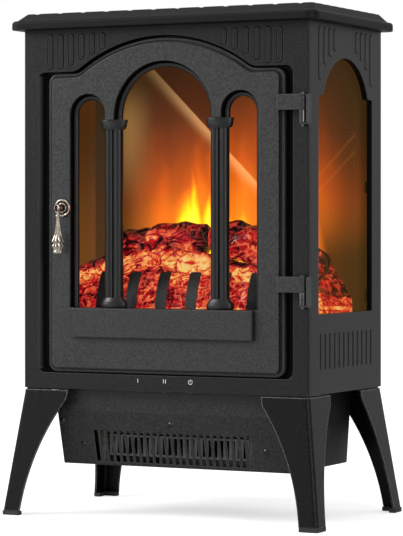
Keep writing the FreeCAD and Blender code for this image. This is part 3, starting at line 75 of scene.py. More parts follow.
class Shader:
    """A Principled material, with short calls for the nodes that feed it."""

    def __init__(self, name, roughness=0.5, metallic=0.0, ior=1.5, specular=0.5):
        self.material = bpy.data.materials.new(name)
        self.material.use_nodes = True
        self.tree = self.material.node_tree
        self.surface = self.tree.nodes["Principled BSDF"]
        self.surface.inputs["Roughness"].default_value = roughness
        self.surface.inputs["Metallic"].default_value = metallic
        self.surface.inputs["IOR"].default_value = ior
        self.surface.inputs["Specular IOR Level"].default_value = specular
        self.coords = self.node("TexCoord").outputs["Object"]
        self.normal = None

    def node(self, kind):
        return self.tree.nodes.new("ShaderNode" + kind)

    def feed(self, socket, value):
        if isinstance(value, bpy.types.NodeSocket):
            self.tree.links.new(value, socket)
        elif value is not None:
            socket.default_value = value

    def set(self, name, value):
        self.feed(self.surface.inputs[name], value)

    # Textures and places
    def stretched(self, scale):
        node = self.node("Mapping")
        self.feed(node.inputs["Vector"], self.coords)
        node.inputs["Scale"].default_value = scale
        return node.outputs["Vector"]

    def noise(self, scale, detail=3.0, distortion=0.0, vector=None):
        node = self.node("TexNoise")
        self.feed(node.inputs["Vector"], vector or self.coords)
        node.inputs["Scale"].default_value = scale
        node.inputs["Detail"].default_value = detail
        node.inputs["Distortion"].default_value = distortion
        return node.outputs["Fac"]

    def voronoi(self, scale, feature="F1", vector=None):
        node = self.node("TexVoronoi")
        node.feature = feature
        self.feed(node.inputs["Vector"], vector or self.coords)
        node.inputs["Scale"].default_value = scale
        return node.outputs["Distance"]

    def place(self):
        node = self.node("SeparateXYZ")
        self.feed(node.inputs[0], self.coords)
        return node.outputs

    def stored(self, name):
        """A value kept on the mesh's points when it was made."""
        node = self.node("Attribute")
        node.attribute_name = name
        return node.outputs["Fac"]

    def leaning(self, a, b):
        """How far two directions agree: 1 along each other and 0 square to each other."""
        node = self.node("VectorMath")
        node.operation = "DOT_PRODUCT"
        self.feed(node.inputs[0], a)
        self.feed(node.inputs[1], b)
        return node.outputs["Value"]

    # Sums
    def math(self, operation, a, b=None):
        node = self.node("Math")
        node.operation = operation
        for socket, value in zip(node.inputs, (a, b)):
            self.feed(socket, value)
        return node.outputs[0]

    def plus(self, a, b):
        return self.math("ADD", a, b)

    def minus(self, a, b):
        return self.math("SUBTRACT", a, b)

    def times(self, a, b):
        return self.math("MULTIPLY", a, b)

    def power(self, a, b):
        return self.math("POWER", a, b)

    def larger(self, a, b):
        return self.math("MAXIMUM", a, b)

    def absolute(self, a):
        return self.math("ABSOLUTE", a)

    def between(self, value, low, high):
        """1 strictly between low and high, and 0 outside."""
        return self.times(self.math("GREATER_THAN", value, low), self.math("LESS_THAN", value, high))

    def remap(self, value, low, high, to_low, to_high):
        """Eases from to_low at low to to_high at high, and holds those values outside."""
        node = self.node("MapRange")
        node.interpolation_type = "SMOOTHSTEP"
        sockets = ("Value", "From Min", "From Max", "To Min", "To Max")
        for socket, item in zip(sockets, (value, low, high, to_low, to_high)):
            self.feed(node.inputs[socket], item)
        return node.outputs["Result"]

    def near(self, value, centre, core, reach, peak=1.0):
        """Peak within core of the centre, easing to 0 at reach."""
        return self.remap(self.absolute(self.minus(value, centre)), core, reach, peak, 0.0)

    # Colours
    def ramp(self, value, stops):
        node = self.node("ValToRGB")
        self.feed(node.inputs["Fac"], value)
        elements = node.color_ramp.elements
        while len(elements) < len(stops):
            elements.new(0.5)
        for element, (position, colour) in zip(elements, stops):
            element.position = position
            element.color = (*colour, 1.0)
        return node.outputs["Color"]

    def mix(self, share, a, b, blend="MIX"):
        node = self.node("Mix")
        node.data_type = "RGBA"
        node.blend_type = blend
        factor, first, second = (node.inputs[i] for i in RGBA_MIX_SOCKETS)
        self.feed(factor, share)
        for socket, value in ((first, a), (second, b)):
            self.feed(socket, (*value, 1.0) if isinstance(value, tuple) else value)
        return node.outputs[RGBA_MIX_RESULT]

    # Relief
    def bump(self, height, depth, strength=1.0):
        node = self.node("Bump")
        self.feed(node.inputs["Height"], height)
        node.inputs["Distance"].default_value = depth
        node.inputs["Strength"].default_value = strength
        self.feed(node.inputs["Normal"], self.normal)
        self.normal = node.outputs["Normal"]
        self.set("Normal", self.normal)

    def soft_edges(self, radius):
        """Sharp folds catch light as if they were rounded to this radius."""
        node = self.node("Bevel")
        node.samples = 4
        node.inputs["Radius"].default_value = radius
        self.normal = node.outputs["Normal"]


def scaled(colour, share):
    return tuple(c * share for c in colour)


COAT_SPECULAR = 0.2
CASE_COLOUR = (0.0062, 0.0062, 0.0064)


# Materials
def crease_shade_and_patina(s, reach=0.006):
    """0.25 deep in seams and folds and 1 in the open: painted shade on the coats, and the pewter's patina in
    its hollows.
    """
    node = s.node("AmbientOcclusion")
    node.samples = 6
    node.inputs["Distance"].default_value = reach
    return s.remap(node.outputs["AO"], 0.35, 0.95, 0.25, 1.0)


def edge_light(s):
    """1 along outside corners and 0 on flats: the soft-edge normal leans away from the true one there."""
    true_normal = s.node("NewGeometry").outputs["True Normal"]
    return s.remap(s.leaning(s.normal, true_normal), 0.8, 0.985, 1.0, 0.0)


def painted_edge_highlight(colour, lift):
    """The coat's colour along an outside corner, lightened as a painted highlight."""
    return tuple(c * 2 + lift for c in colour)


def powder_coat(name, colour, roughness=0.4, specular=COAT_SPECULAR, edge_radius=0.0013, edge_lift=0.06,
                details=None):
    """Satin powder coat with orange-peel grain, painted highlights along its corners and painted shade in its
    seams and folds. details paints over it.
    """
    s = Shader(name, roughness, specular=specular)
    s.soft_edges(edge_radius)
    cloud = s.noise(11, 4)
    grain = s.noise(470, 2)
    tone = s.mix(0.55, s.ramp(cloud, [(0.3, scaled(colour, 0.86)), (0.7, scaled(colour, 1.14))]),
                 s.ramp(grain, [(0.38, scaled(colour, 0.35)), (0.62, scaled(colour, 1.8))]))
    # Painted highlight along outside corners
    tone = s.mix(s.times(edge_light(s), 0.8), tone, painted_edge_highlight(colour, edge_lift))
    # Painted shade in seams and folds
    tone = s.mix(crease_shade_and_patina(s), scaled(colour, 0.08), tone)
    if details is not None:
        tone = details(s, tone)
    s.set("Base Color", tone)
    s.set("Roughness", s.remap(grain, 0.3, 0.7, roughness - 0.07, roughness + 0.07))
    s.bump(grain, 0.0004, 0.7)
    s.bump(s.noise(1500, 1), 0.00006, 0.5)
    return s.material


def front_details(s, tone):
    """White paint in the grooves of the switch marks, and painted light on the left wall of the door recess,
    fading with depth.
    """
    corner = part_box("front_panel")[0]
    face_y = corner.y + 0.0006
    recess_x = -0.168
    recess_depth = 0.017
    x, y, z = s.place()
    # Painted light on the recess's left wall, brightest at its front edge
    wall = s.times(s.math("LESS_THAN", s.absolute(s.minus(x, recess_x)), 0.0012),
                   s.math("GREATER_THAN", y, face_y + 0.0003))
    fade = s.power(s.remap(y, face_y, face_y + recess_depth, 1.0, 0.0), 1.2)
    tone = s.mix(s.times(wall, fade), tone, scaled(CASE_COLOUR, 12))
    height = s.between(z, corner.z + 0.009, corner.z + 0.016)
    sunk = s.between(y, face_y + 0.0001, face_y + 0.0006)
    middle = s.math("LESS_THAN", s.absolute(x), 0.07)
    return s.mix(s.times(middle, s.times(height, sunk)), tone, (0.75, 0.75, 0.75))


def side_details(s, tone):
    """Near-black on the inside of a side window's lip, behind the sheet's outer face: painted shade in the
    reveal.
    """
    seal_x = abs(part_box("side_panel_right")[1].x) - 0.0013
    x, _, _ = s.place()
    outside = s.remap(s.absolute(x), seal_x - 0.0002, seal_x, 0.0, 1.0)
    # Painted shade inside the window lip
    return s.mix(outside, (0.002, 0.002, 0.002), tone)


def cast_coat(name, colour):
    """Coated casting: glossier than the sheet, with a soft skin and broader unevenness."""
    s = Shader(name, 0.36, specular=0.32)
    s.soft_edges(0.0009)
    broad = s.noise(60, 3)
    tone = s.ramp(broad, [(0.3, scaled(colour, 0.85)), (0.7, scaled(colour, 1.15))])
    # Painted highlight along outside corners
    tone = s.mix(edge_light(s), tone, painted_edge_highlight(colour, 0.07))
    # Painted shade in seams and hollows
    s.set("Base Color", s.mix(crease_shade_and_patina(s, 0.009), scaled(colour, 0.1), tone))
    s.set("Roughness", s.remap(broad, 0.3, 0.7, 0.3, 0.42))
    s.bump(s.noise(900, 2), 0.00012, 0.45)
    return s.material


def black_firebox():
    s = Shader("firebox_black", 0.7, specular=0.1)
    soot_and_shade = s.noise(30, 5)
    s.set("Base Color", s.ramp(soot_and_shade, [(0.3, (0.004, 0.0035, 0.003)), (0.7, (0.012, 0.01, 0.009))]))
    s.set("Roughness", s.remap(soot_and_shade, 0.3, 0.7, 0.6, 0.85))
    s.bump(s.noise(700, 2), 0.0001, 0.5)
    return s.material


def plated_steel(name, colour, roughness):
    """Plated sheet with rolling streaks and faint spangle."""
    s = Shader(name, roughness, 1.0)
    streak = s.noise(40, 4, vector=s.stretched((1, 1, 14)))
    spangle = s.voronoi(160)
    s.set("Base Color", s.mix(0.3, s.ramp(streak, [(0.3, scaled(colour, 0.82)), (0.7, colour)]),
                              s.ramp(spangle, [(0.1, colour), (0.7, scaled(colour, 0.8))])))
    s.set("Roughness", s.remap(streak, 0.3, 0.7, roughness - 0.06, roughness + 0.1))
    s.bump(streak, 0.00005, 0.4)
    return s.material


def bright_metal():
    s = Shader("bright_metal", 0.16, 1.0)
    s.set("Base Color", s.ramp(s.noise(90, 3), [(0.3, (0.06, 0.06, 0.062)), (0.7, (0.12, 0.12, 0.123))]))
    s.set("Roughness", s.remap(s.noise(300, 3), 0.3, 0.7, 0.1, 0.26))
    s.bump(s.noise(500, 2, vector=s.stretched((1, 1, 0.15))), 0.00003, 0.4)
    return s.material


def pewter():
    """Antiqued metal: dark in the hollows and rubbed bright on the high spots."""
    s = Shader("pewter", 0.3, 1.0)
    open_air = crease_shade_and_patina(s, 0.0035)
    high_spots = s.times(s.minus(s.node("NewGeometry").outputs["Pointiness"], 0.5), 2.2)
    mottle = s.times(s.minus(s.noise(420, 3), 0.5), 0.25)
    worn = s.plus(s.plus(high_spots, open_air), mottle)
    s.set("Base Color", s.ramp(worn, [(0.4, (0.012, 0.009, 0.007)), (0.78, (0.12, 0.098, 0.075)),
                                      (1.05, (0.4, 0.355, 0.3))]))
    s.set("Roughness", s.remap(worn, 0.4, 1.0, 0.5, 0.2))
    s.bump(s.noise(900, 2), 0.00006, 0.4)
    return s.material


def moulded_plastic(name, colour, roughness=0.5):
    s = Shader(name, roughness)
    grain = s.noise(1100, 2)
    s.set("Base Color", s.ramp(s.noise(40, 3), [(0.3, scaled(colour, 0.85)), (0.7, scaled(colour, 1.15))]))
    s.set("Roughness", s.remap(grain, 0.3, 0.7, roughness - 0.06, roughness + 0.08))
    s.bump(grain, 0.0001, 0.5)
    return s.material


def rubber():
    s = Shader("rubber_black", 0.82)
    dust = s.noise(120, 4)
    s.set("Base Color", s.ramp(dust, [(0.35, (0.012, 0.012, 0.012)), (0.75, (0.035, 0.034, 0.033))]))
    s.set("Roughness", s.remap(dust, 0.3, 0.7, 0.74, 0.92))
    s.bump(s.noise(800, 3), 0.00015, 0.6)
    return s.material


def circuit_board():
    s = Shader("board_green", 0.4)
    brick = s.node("TexBrick")
    s.feed(brick.inputs["Vector"], s.coords)
    brick.inputs["Scale"].default_value = 60
    brick.inputs["Color1"].default_value = (0.012, 0.09, 0.035, 1)
    brick.inputs["Color2"].default_value = (0.016, 0.12, 0.05, 1)
    brick.inputs["Mortar"].default_value = (0.1, 0.22, 0.1, 1)
    brick.inputs["Mortar Size"].default_value = 0.012
    s.set("Base Color", brick.outputs["Color"])
    s.set("Roughness", s.remap(s.noise(200, 2), 0.3, 0.7, 0.3, 0.5))
    return s.material


def mica_board():
    s = Shader("mica", 0.5)
    flakes = s.voronoi(220)
    # Darker than bare mica: painted shade inside the housing
    s.set("Base Color", s.ramp(flakes, [(0.1, (0.1, 0.085, 0.06)), (0.7, (0.05, 0.042, 0.03))]))
    s.set("Roughness", s.remap(flakes, 0.1, 0.7, 0.35, 0.6))
    s.bump(flakes, 0.0001, 0.5)
    return s.material


def pane_glass(name, tint, painted_fire_glow=None):
    """Thin see-through pane with a faint tint and a skin of gloss. The last argument, when given, is painted
    fire glow that the pane gives out, dimmer higher up.
    """
    gloss_share = 0.035
    s = Shader(name, 0.1, 0.0, 1.45)
    s.set("Base Color", s.ramp(s.noise(7, 2), [(0.35, (0.004, 0.004, 0.004)), (0.65, (0.008, 0.008, 0.008))]))
    # Painted glow: the pane gives out fire light of its own
    if painted_fire_glow:
        _, _, z = s.place()
        climb = s.remap(z, 0.31, 0.46, 0.0, 1.0)
        s.set("Emission Color", s.ramp(climb, [(0.0, painted_fire_glow), (1.0, scaled(painted_fire_glow, 0.45))]))
        s.set("Emission Strength", 1.0 / gloss_share)
    clear = s.node("BsdfTransparent")
    clear.inputs["Color"].default_value = (*tint, 1.0)
    either = s.node("MixShader")
    either.inputs[0].default_value = gloss_share
    s.feed(either.inputs[1], clear.outputs[0])
    s.feed(either.inputs[2], s.surface.outputs[0])
    s.feed(s.tree.nodes["Material Output"].inputs["Surface"], either.outputs[0])
    return s.material


# The picture of light on the flame screen
# Glow from the foot of the screen to the top of its dome
GLOW = (
    (0.0, (0.62, 0.16, 0.012)), (0.16, (0.9, 0.24, 0.014)), (0.38, (0.86, 0.18, 0.009)),
    (0.5, (0.62, 0.095, 0.008)), (0.63, (0.3, 0.05, 0.008)), (0.75, (0.125, 0.026, 0.008)),
    (0.88, (0.06, 0.016, 0.005)), (1.0, (0.03, 0.009, 0.003)),
)
# A flame from its thin outside to its core
FLAME = (
    (0.0, BLACK), (0.25, (0.25, 0.035, 0.0)), (0.45, (0.5, 0.13, 0.0)), (0.62, (0.8, 0.4, 0.0)),
    (0.78, (1.0, 0.8, 0.0)), (1.0, (1.2, 1.1, 0.06)),
)
SCREEN_LOW = 0.24
SCREEN_HIGH = 0.56
DOME_HALF_WIDTH = 0.19
# How far back the bent ends of the screen begin
WING_Y = 0.053
# Tongues of flame: x, foot height, half width, length, heat
TONGUES = (
    (-0.044, 0.335, 0.031, 0.062, 1.0),
    (-0.038, 0.335, 0.018, 0.084, 0.93),
    (-0.017, 0.33, 0.022, 0.066, 0.86),
    (0.006, 0.32, 0.02, 0.055, 0.9),
    (-0.030, 0.335, 0.034, 0.12, 0.44),
    (-0.010, 0.335, 0.026, 0.13, 0.4),
    (-0.080, 0.335, 0.024, 0.09, 0.26),
    (0.030, 0.318, 0.024, 0.064, 0.76),
    (0.030, 0.33, 0.028, 0.12, 0.38),
    (0.072, 0.32, 0.026, 0.064, 0.6),
    (0.094, 0.32, 0.03, 0.1, 0.36),
    (0.112, 0.32, 0.024, 0.07, 0.42),
)


def tongue_mask(s, x, z, sway, tongue):
    """1 in the body of one flame and 0 outside it: wide at its foot and drawn out to a wavering tip."""
    foot_x, foot_z, half_width, length, heat = tongue
    climb = s.times(s.minus(z, foot_z), 1 / length)
    drift = s.times(sway, s.larger(climb, 0.0))
    across = s.times(s.absolute(s.minus(s.minus(x, foot_x), drift)), 1 / half_width)
    rise = s.power(s.larger(climb, 0.0), 1.35)
    return s.remap(s.plus(across, rise), 0.25, 1.3, heat, 0.0)


def flames(s, x, z, wisps):
    """All the tongues together, rippled by the wisps."""
    sway = s.times(s.minus(s.noise(20, 3, vector=s.stretched((0.6, 1, 1))), 0.5), 0.034)
    heat = tongue_mask(s, x, z, sway, TONGUES[0])
    for tongue in TONGUES[1:]:
        heat = s.larger(heat, tongue_mask(s, x, z, sway, tongue))
    heat = s.times(heat, s.remap(wisps, 0.3, 0.7, 0.82, 1.12))
    return s.ramp(heat, FLAME)


def dome_of_glow(s, x, y, z, wisps):
    """Orange light over the fire: a dome that dims with height and towards the ends of the screen."""
    height = s.times(s.minus(z, SCREEN_LOW), 1 / (SCREEN_HIGH - SCREEN_LOW))
    height = s.minus(height, s.near(x, 0.03, 0.02, 0.034, 0.08))
    dome = s.power(s.absolute(s.times(x, 1 / DOME_HALF_WIDTH)), 2.0)
    wander = s.times(s.minus(wisps, 0.5), 0.13)
    glow = s.ramp(s.plus(s.plus(height, s.times(dome, 0.08)), wander), GLOW)
    right_end = s.times(s.remap(x, 0.122, 0.176, 1.0, 0.3), s.remap(y, WING_Y, 0.09, 1.0, 0.3))
    low_corner = s.larger(s.remap(z, 0.3, 0.39, 0.12, 1.0), s.remap(x, 0.12, 0.15, 1.0, 0.0))
    left_end = s.remap(x, -0.148, -0.074, 0.05, 1.0)
    shade = s.times(left_end, s.times(right_end, low_corner))
    return s.mix(1.0, glow, s.ramp(shade, [(0.0, BLACK), (1.0, WHITE)]), "MULTIPLY")


def haze(s, x, y, z, picture):
    """Olive-gold light on the left of the screen, and a faint brown over its darkest parts."""
    column = s.times(s.remap(x, -0.165, -0.125, 0.0, 1.0), s.remap(x, -0.135, -0.085, 1.0, 0.0))
    band = s.times(s.remap(z, 0.36, 0.46, 0.1, 1.0), s.remap(z, 0.47, 0.53, 1.0, 0.12))
    picture = s.mix(s.times(column, band), picture, (0.26, 0.14, 0.045), "ADD")
    picture = s.mix(1.0, picture, (0.014, 0.009, 0.003), "ADD")
    picture = s.mix(s.remap(x, -0.16, -0.12, 1.0, 0.0), picture, (0.02, 0.012, 0.004), "ADD")
    dusk = s.times(s.remap(x, 0.125, 0.176, 0.0, 1.0), s.remap(y, WING_Y, 0.094, 1.0, 0.3))
    return s.mix(dusk, picture, (0.012, 0.007, 0.002), "ADD")


def light_shaft(s, x, z, start, end, reach):
    """A slanting line from start down to end: dark above it, and a sheen below that ends at reach."""
    dx = end[0] - start[0]
    dz = end[1] - start[1]
    length = math.hypot(dx, dz)
    offset = s.plus(s.times(s.minus(x, start[0]), dz / length), s.times(s.minus(z, start[1]), -dx / length))
    above = s.remap(offset, -0.0012, 0.0006, 1.0, 0.0)
    fading = s.power(s.remap(offset, 0.0, reach, 1.0, 0.0), 2.6)
    return above, s.times(fading, s.minus(1.0, above))


def thin_line(s, x, z, start, rise, width):
    """A narrow soft streak through start, climbing by rise for each unit across."""
    across = s.minus(s.minus(z, start[1]), s.times(s.minus(x, start[0]), rise))
    return s.near(across, 0.0, 0.0, width)


def still_reflections(s, x, y, z, picture):
    """A shaft of light down the middle and right windows, and two thin streaks at the right end."""
    above, sheen = light_shaft(s, x, z, (-0.1, 0.545), (0.054, 0.392), 0.024)
    picture = s.mix(s.times(above, s.remap(x, -0.003, 0.01, 0.3, 0.0)), picture, (0.04, 0.009, 0.003))
    strength = s.times(s.remap(z, 0.36, 0.41, 0.0, 1.0), s.remap(z, 0.46, 0.54, 1.0, 0.3))
    picture = s.mix(s.times(sheen, strength), picture, (0.5, 0.3, 0.12), "ADD")
    at_right = s.times(s.remap(x, 0.12, 0.13, 0.0, 1.0), s.remap(y, 0.052, 0.0535, 1.0, 0.0))
    streaks = s.larger(thin_line(s, x, z, (0.13, 0.405), 1.05, 0.0045),
                       thin_line(s, x, z, (0.13, 0.387), 1.0, 0.0035))
    return s.mix(s.times(s.times(streaks, at_right), 0.2), picture, (0.3, 0.13, 0.03), "ADD")


def flame_screen_material():
    s = Shader("screen_acrylic", 0.6, specular=0.0)
    x, y, z = s.place()
    wisps = s.noise(16, 4, 0.6, vector=s.stretched((2.6, 1, 0.55)))
    picture = dome_of_glow(s, x, y, z, wisps)
    picture = haze(s, x, y, z, picture)
    picture = still_reflections(s, x, y, z, picture)
    picture = s.mix(1.0, picture, flames(s, x, z, wisps), "ADD")
    s.set("Base Color", (0.004, 0.002, 0.001, 1.0))
    s.set("Emission Color", picture)
    s.set("Emission Strength", 1.0)
    return s.material


# The fire bed's glow
# Resin from its dark skin to its brightest folds
EMBER_RAMP = (
    (0.0, (0.004, 0.0, 0.001)), (0.16, (0.035, 0.001, 0.003)), (0.32, (0.24, 0.002, 0.006)),
    (0.5, (0.52, 0.006, 0.011)), (0.64, (0.7, 0.04, 0.02)), (0.78, (0.84, 0.19, 0.04)),
    (0.9, (0.92, 0.43, 0.09)), (1.0, (0.94, 0.64, 0.2)),
)
# Folds that face this way are lit most
EMBER_FACING = (-0.55, -0.8, 0.24)


def crust_light(s, x, rise):
    """Back logs: dim, darker over their tops and at the left, and brighter by the right-hand window."""
    top = s.remap(rise, 0.35, 1.0, 0.0, 0.2)
    left = s.times(s.remap(x, -0.066, -0.05, 0.24, 0.0), s.remap(rise, 0.0, 0.5, 0.2, 1.0))
    return s.minus(s.minus(s.remap(x, 0.11, 0.15, 0.41, 0.57), top), left)


def split_light(s, rise):
    """Front logs: the hottest, darker round their edges, with dark cracks across them."""
    edge = s.remap(s.absolute(s.minus(rise, 0.05)), 0.55, 0.95, 0.0, 0.42)
    checks = s.voronoi(105, "DISTANCE_TO_EDGE", vector=s.stretched((1.0, 1.0, 1.7)))
    cracks = s.times(s.remap(checks, 0.0, 0.06, 0.45, 0.0), s.remap(s.noise(45, 1), 0.4, 0.6, 0.0, 1.0))
    return s.minus(s.minus(0.74, edge), cracks)


def coal_light(s, x, z):
    """Coals: dim, brighter by the right-hand window, with a broken hot line along their foot."""
    hot_line = s.times(s.near(z, 0.2475, 0.001, 0.0032, 0.34), s.remap(s.noise(22, 1), 0.42, 0.58, 0.0, 1.0))
    return s.plus(s.remap(x, 0.11, 0.14, 0.41, 0.53), hot_line)


def ember_material(name, kind):
    """Painted translucent resin lit from within, brightest along its folds. kind is crust, split or coals."""
    s = Shader(name, 0.25, specular=0.22)
    x, _, z = s.place()
    rise = s.stored("rise")
    crest = s.stored("crest")
    folds = s.plus(s.times(s.minus(s.stored("fold"), 0.36), 0.56), s.times(crest, 0.2))
    facing = s.leaning(s.node("NewGeometry").outputs["Normal"], EMBER_FACING)
    folds = s.plus(folds, s.times(s.minus(facing, 0.62), 0.4))
    patches = s.minus(s.noise(26, 2, 0.8), 0.5)
    centre = s.times(s.near(x, 0.0, 0.0, 0.04, 0.3), s.near(z, 0.284, 0.0, 0.022))
    if kind == "crust":
        light = crust_light(s, x, rise)
        patches = s.times(patches, 0.9)
    elif kind == "split":
        light = split_light(s, rise)
    else:
        light = coal_light(s, x, z)
        patches = s.times(patches, 0.9)
    light = s.plus(s.plus(light, folds), s.plus(patches, centre))
    # Painted highlight: the crests of the folds are pushed towards orange
    rim = s.times(s.power(s.larger(crest, 0.0), 1.5), s.remap(light, 0.3, 0.6, 0.1, 0.4))
    s.set("Emission Color", s.mix(rim, s.ramp(light, EMBER_RAMP), (0.98, 0.34, 0.13)))
    s.set("Emission Strength", 0.98)
    s.set("Base Color", s.ramp(light, [(0.1, (0.01, 0.002, 0.002)), (0.5, (0.06, 0.002, 0.003)),
                                       (0.9, (0.16, 0.06, 0.02))]))
    fine = s.noise(300, 2)
    s.set("Roughness", s.remap(fine, 0.3, 0.7, 0.16, 0.3))
    s.bump(fine, 0.0002, 0.4)
    return s.material


def pale_grit():
    s = Shader("pale_grit", 0.2)
    tone = s.noise(260, 2)
    s.set("Base Color", s.ramp(tone, [(0.35, (0.45, 0.06, 0.04)), (0.65, (0.75, 0.6, 0.52))]))
    # Painted glow: the grit gives out light of its own, though it is no lamp
    s.set("Emission Color", s.ramp(tone, [(0.4, (0.5, 0.03, 0.015)), (0.62, (0.8, 0.5, 0.4))]))
    s.set("Emission Strength", 0.55)
    s.set("Roughness", s.remap(tone, 0.3, 0.7, 0.12, 0.35))
    return s.material


def finger_metal():
    """Grey coated bars, darker towards their tips: painted shade."""
    s = Shader("grate_grey", 0.5, specular=0.2)
    _, _, z = s.place()
    grain = s.noise(700, 2)
    # Painted shade over the upper part of the bars
    soot_and_shade = s.remap(z, 0.262, 0.284, 0.0, 1.0)
    coat = s.ramp(grain, [(0.3, (0.046, 0.048, 0.05)), (0.7, (0.058, 0.06, 0.063))])
    s.set("Base Color", s.mix(soot_and_shade, coat, (0.016, 0.016, 0.016)))
    s.set("Roughness", s.remap(grain, 0.3, 0.7, 0.42, 0.58))
    s.bump(grain, 0.0002, 0.5)
    return s.material


# Meshes
def mesh_piece(name, points, faces, material, body, smooth=True):
    mesh = bpy.data.meshes.new(name)
    mesh.from_pydata(points, [], faces)
    mesh.validate()
    mesh.update()
    for polygon in mesh.polygons:
        polygon.use_smooth = smooth
    piece = bpy.data.objects.new(name, mesh)
    bpy.context.scene.collection.objects.link(piece)
    mesh.materials.append(material)
    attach(piece, body)
    return piece


def grid_faces(rows, columns, closed):
    """Quads over a grid of points, each row wrapped round on itself when closed."""
    faces = []
    last = columns if closed else columns - 1
    for r in range(rows - 1):
        for c in range(last):
            n = (c + 1) % columns
            faces.append((r * columns + c, r * columns + n, (r + 1) * columns + n, (r + 1) * columns + c))
    return faces


def chance(v):
    """A settled random number from 0 to 1 for a place."""
    return (math.sin(v.x * 12.71 + v.y * 31.17 + v.z * 7.47) * 4375.85) % 1.0


def crumple(point, seed, size):
    """Crushed-resin relief made of facets of about this size, each at its own height.

    Returns the height, about 0 to 1, and the fold: 1 on a ridge, -1 in a crease and 0 on a facet.
    """
    x, y, z = point
    skewed = Vector((0.7 * x + 0.5 * z, 0.9 * y, 1.1 * z - 0.45 * x))
    p = skewed / size + Vector((seed * 3.1, seed * 1.7, seed * 2.3))
    p = p + noise.noise_vector(p * 0.9) * 0.45
    height = 0.0
    crest = 0.0
    for scale, weight, sharpness in ((1.0, 0.5, 5.5), (2.1, 0.26, 4.5)):
        distances, centres = noise.voronoi(p * scale)
        border = distances[1] - distances[0]
        height += weight * chance(centres[0]) * min(1.0, border * 3)
        side = 1.0 if chance(centres[0] + centres[1]) > 0.45 else -1.0
        fold = side * max(0.0, 1 - border * sharpness)
        if abs(fold) > abs(crest):
            crest = fold
    ridge = 1 - min(1.0, abs(noise.noise(p * 0.8)) * 2.7)
    return height + 0.24 * ridge + 0.08 * crest, crest


def keep(piece, **values):
    """Store a value per point for the material to read."""
    for name, numbers in values.items():
        piece.data.attributes.new(name, "FLOAT", "POINT").data.foreach_set("value", numbers)
    return piece


def bend_through(points, share):
    """Point and direction on the smooth curve through three points."""
    a, b, c = (Vector(p) for p in points)
    control = 2 * b - (a + c) / 2
    place = a * (1 - share) ** 2 + control * (2 * share * (1 - share)) + c * share ** 2
    heading = (control - a) * (1 - share) + (c - control) * share
    return place, heading.normalized()


def bark_log(name, points_along, radius, seed, material):
    """A crusted log: an uneven tube along a gentle bend, crumpled like foil, with broken ends."""
    step = 0.0010
    fold_size = 0.016
    fold_depth = 0.0030
    length = sum((Vector(q) - Vector(p)).length for p, q in zip(points_along, points_along[1:]))
    rows = int(length / step)
    columns = int(2 * math.pi * radius / step)
    points, folds, crests, rises = [], [], [], []
    for r in range(rows + 1):
        share = r / rows
        place, axis = bend_through(points_along, share)
        side = axis.cross(Vector((0, 0, 1))).normalized()
        top = side.cross(axis)
        from_end = min(share, 1 - share) * length / radius
        rounding = math.sqrt(max(0.0, 1 - (1 - min(1.0, from_end / 0.6)) ** 2))
        swell = 1 + 0.12 * noise.noise(Vector((share * length * 26, seed * 2.7, 0.3)))
        for c in range(columns):
            angle = 2 * math.pi * c / columns
            out = side * math.cos(angle) + top * math.sin(angle)
            base = place + out * radius * swell
            lumps = noise.noise(base * 50 + Vector((seed, 0, 0))) * radius * 0.16
            fold, crest = crumple(base, seed, fold_size)
            reach = (radius * swell + lumps + (fold - 0.5) * fold_depth) * rounding
            points.append(place + out * max(0.0005, reach))
            folds.append(fold)
            crests.append(crest)
            rises.append(math.sin(angle))
    log = mesh_piece(name, points, grid_faces(rows + 1, columns, True), material, "case")
    return keep(log, fold=folds, crest=crests, rise=rises)


# Section of the ember bed, as y and z: up the front, over the crown and down to the back
BED_SECTION = (
    (-0.0660, 0.2392), (-0.0645, 0.256), (-0.058, 0.2725), (-0.049, 0.2865), (-0.034, 0.292), (-0.01, 0.286),
    (0.0455, 0.264), (0.047, 0.241),
)


def along_section(share):
    place = share * (len(BED_SECTION) - 1)
    i = min(int(place), len(BED_SECTION) - 2)
    return tuple(p + (q - p) * (place - i) for p, q in zip(BED_SECTION[i], BED_SECTION[i + 1]))


def ember_bed(material):
    """One crumpled sheet of glowing coals from wall to wall, low at the left end and heaped at the right."""
    half = 0.1752
    columns = 340
    rows = 150
    still_rows = 6
    fold_size = 0.011
    points, folds, crests, rises = [], [], [], []
    for r in range(rows):
        y, z = along_section(r / (rows - 1))
        inside = min(1.0, r / still_rows, (rows - 1 - r) / still_rows)
        forward = -0.4 if y < -0.05 else 0.0
        for c in range(columns):
            x = -half + 2 * half * c / (columns - 1)
            p = Vector((x, y, z))
            fold, crest = crumple(p, 2.0, fold_size)
            lift = (fold - 0.5) * 0.0042 + noise.noise(p * 38) * 0.004
            sag = 0.010 * max(0.0, -x / half - 0.72) / 0.28
            heap = 0.016 * min(1.0, max(0.0, x - 0.12) / 0.04) * max(0.0, 1 - abs(y + 0.015) / 0.05)
            points.append(Vector((x, y + forward * lift * inside, z + (lift - sag + heap) * inside)))
            folds.append(fold)
            crests.append(crest)
            rises.append(r / (rows - 1))
    bed = mesh_piece("ember_coals", points, grid_faces(rows, columns, False), material, "case")
    return keep(bed, fold=folds, crest=crests, rise=rises)


def chip(centre, size, rng):
    """A small faceted stone: an irregular octahedron with its corners pushed about."""
    corners = [Vector(v) for v in ((1, 0, 0), (-1, 0, 0), (0, 1, 0), (0, -1, 0), (0, 0, 1), (0, 0, -1))]
    angle = rng.uniform(0, 6.28)
    axis = Vector([rng.uniform(-1, 1) for _ in range(3)]).normalized()
    turn = Matrix.Rotation(angle, 3, axis)
    points = [centre + turn @ (v * size * rng.uniform(0.6, 1.25)) for v in corners]
    faces = [(0, 2, 4), (2, 1, 4), (1, 3, 4), (3, 0, 4), (2, 0, 5), (1, 2, 5), (3, 1, 5), (0, 3, 5)]
    return points, faces


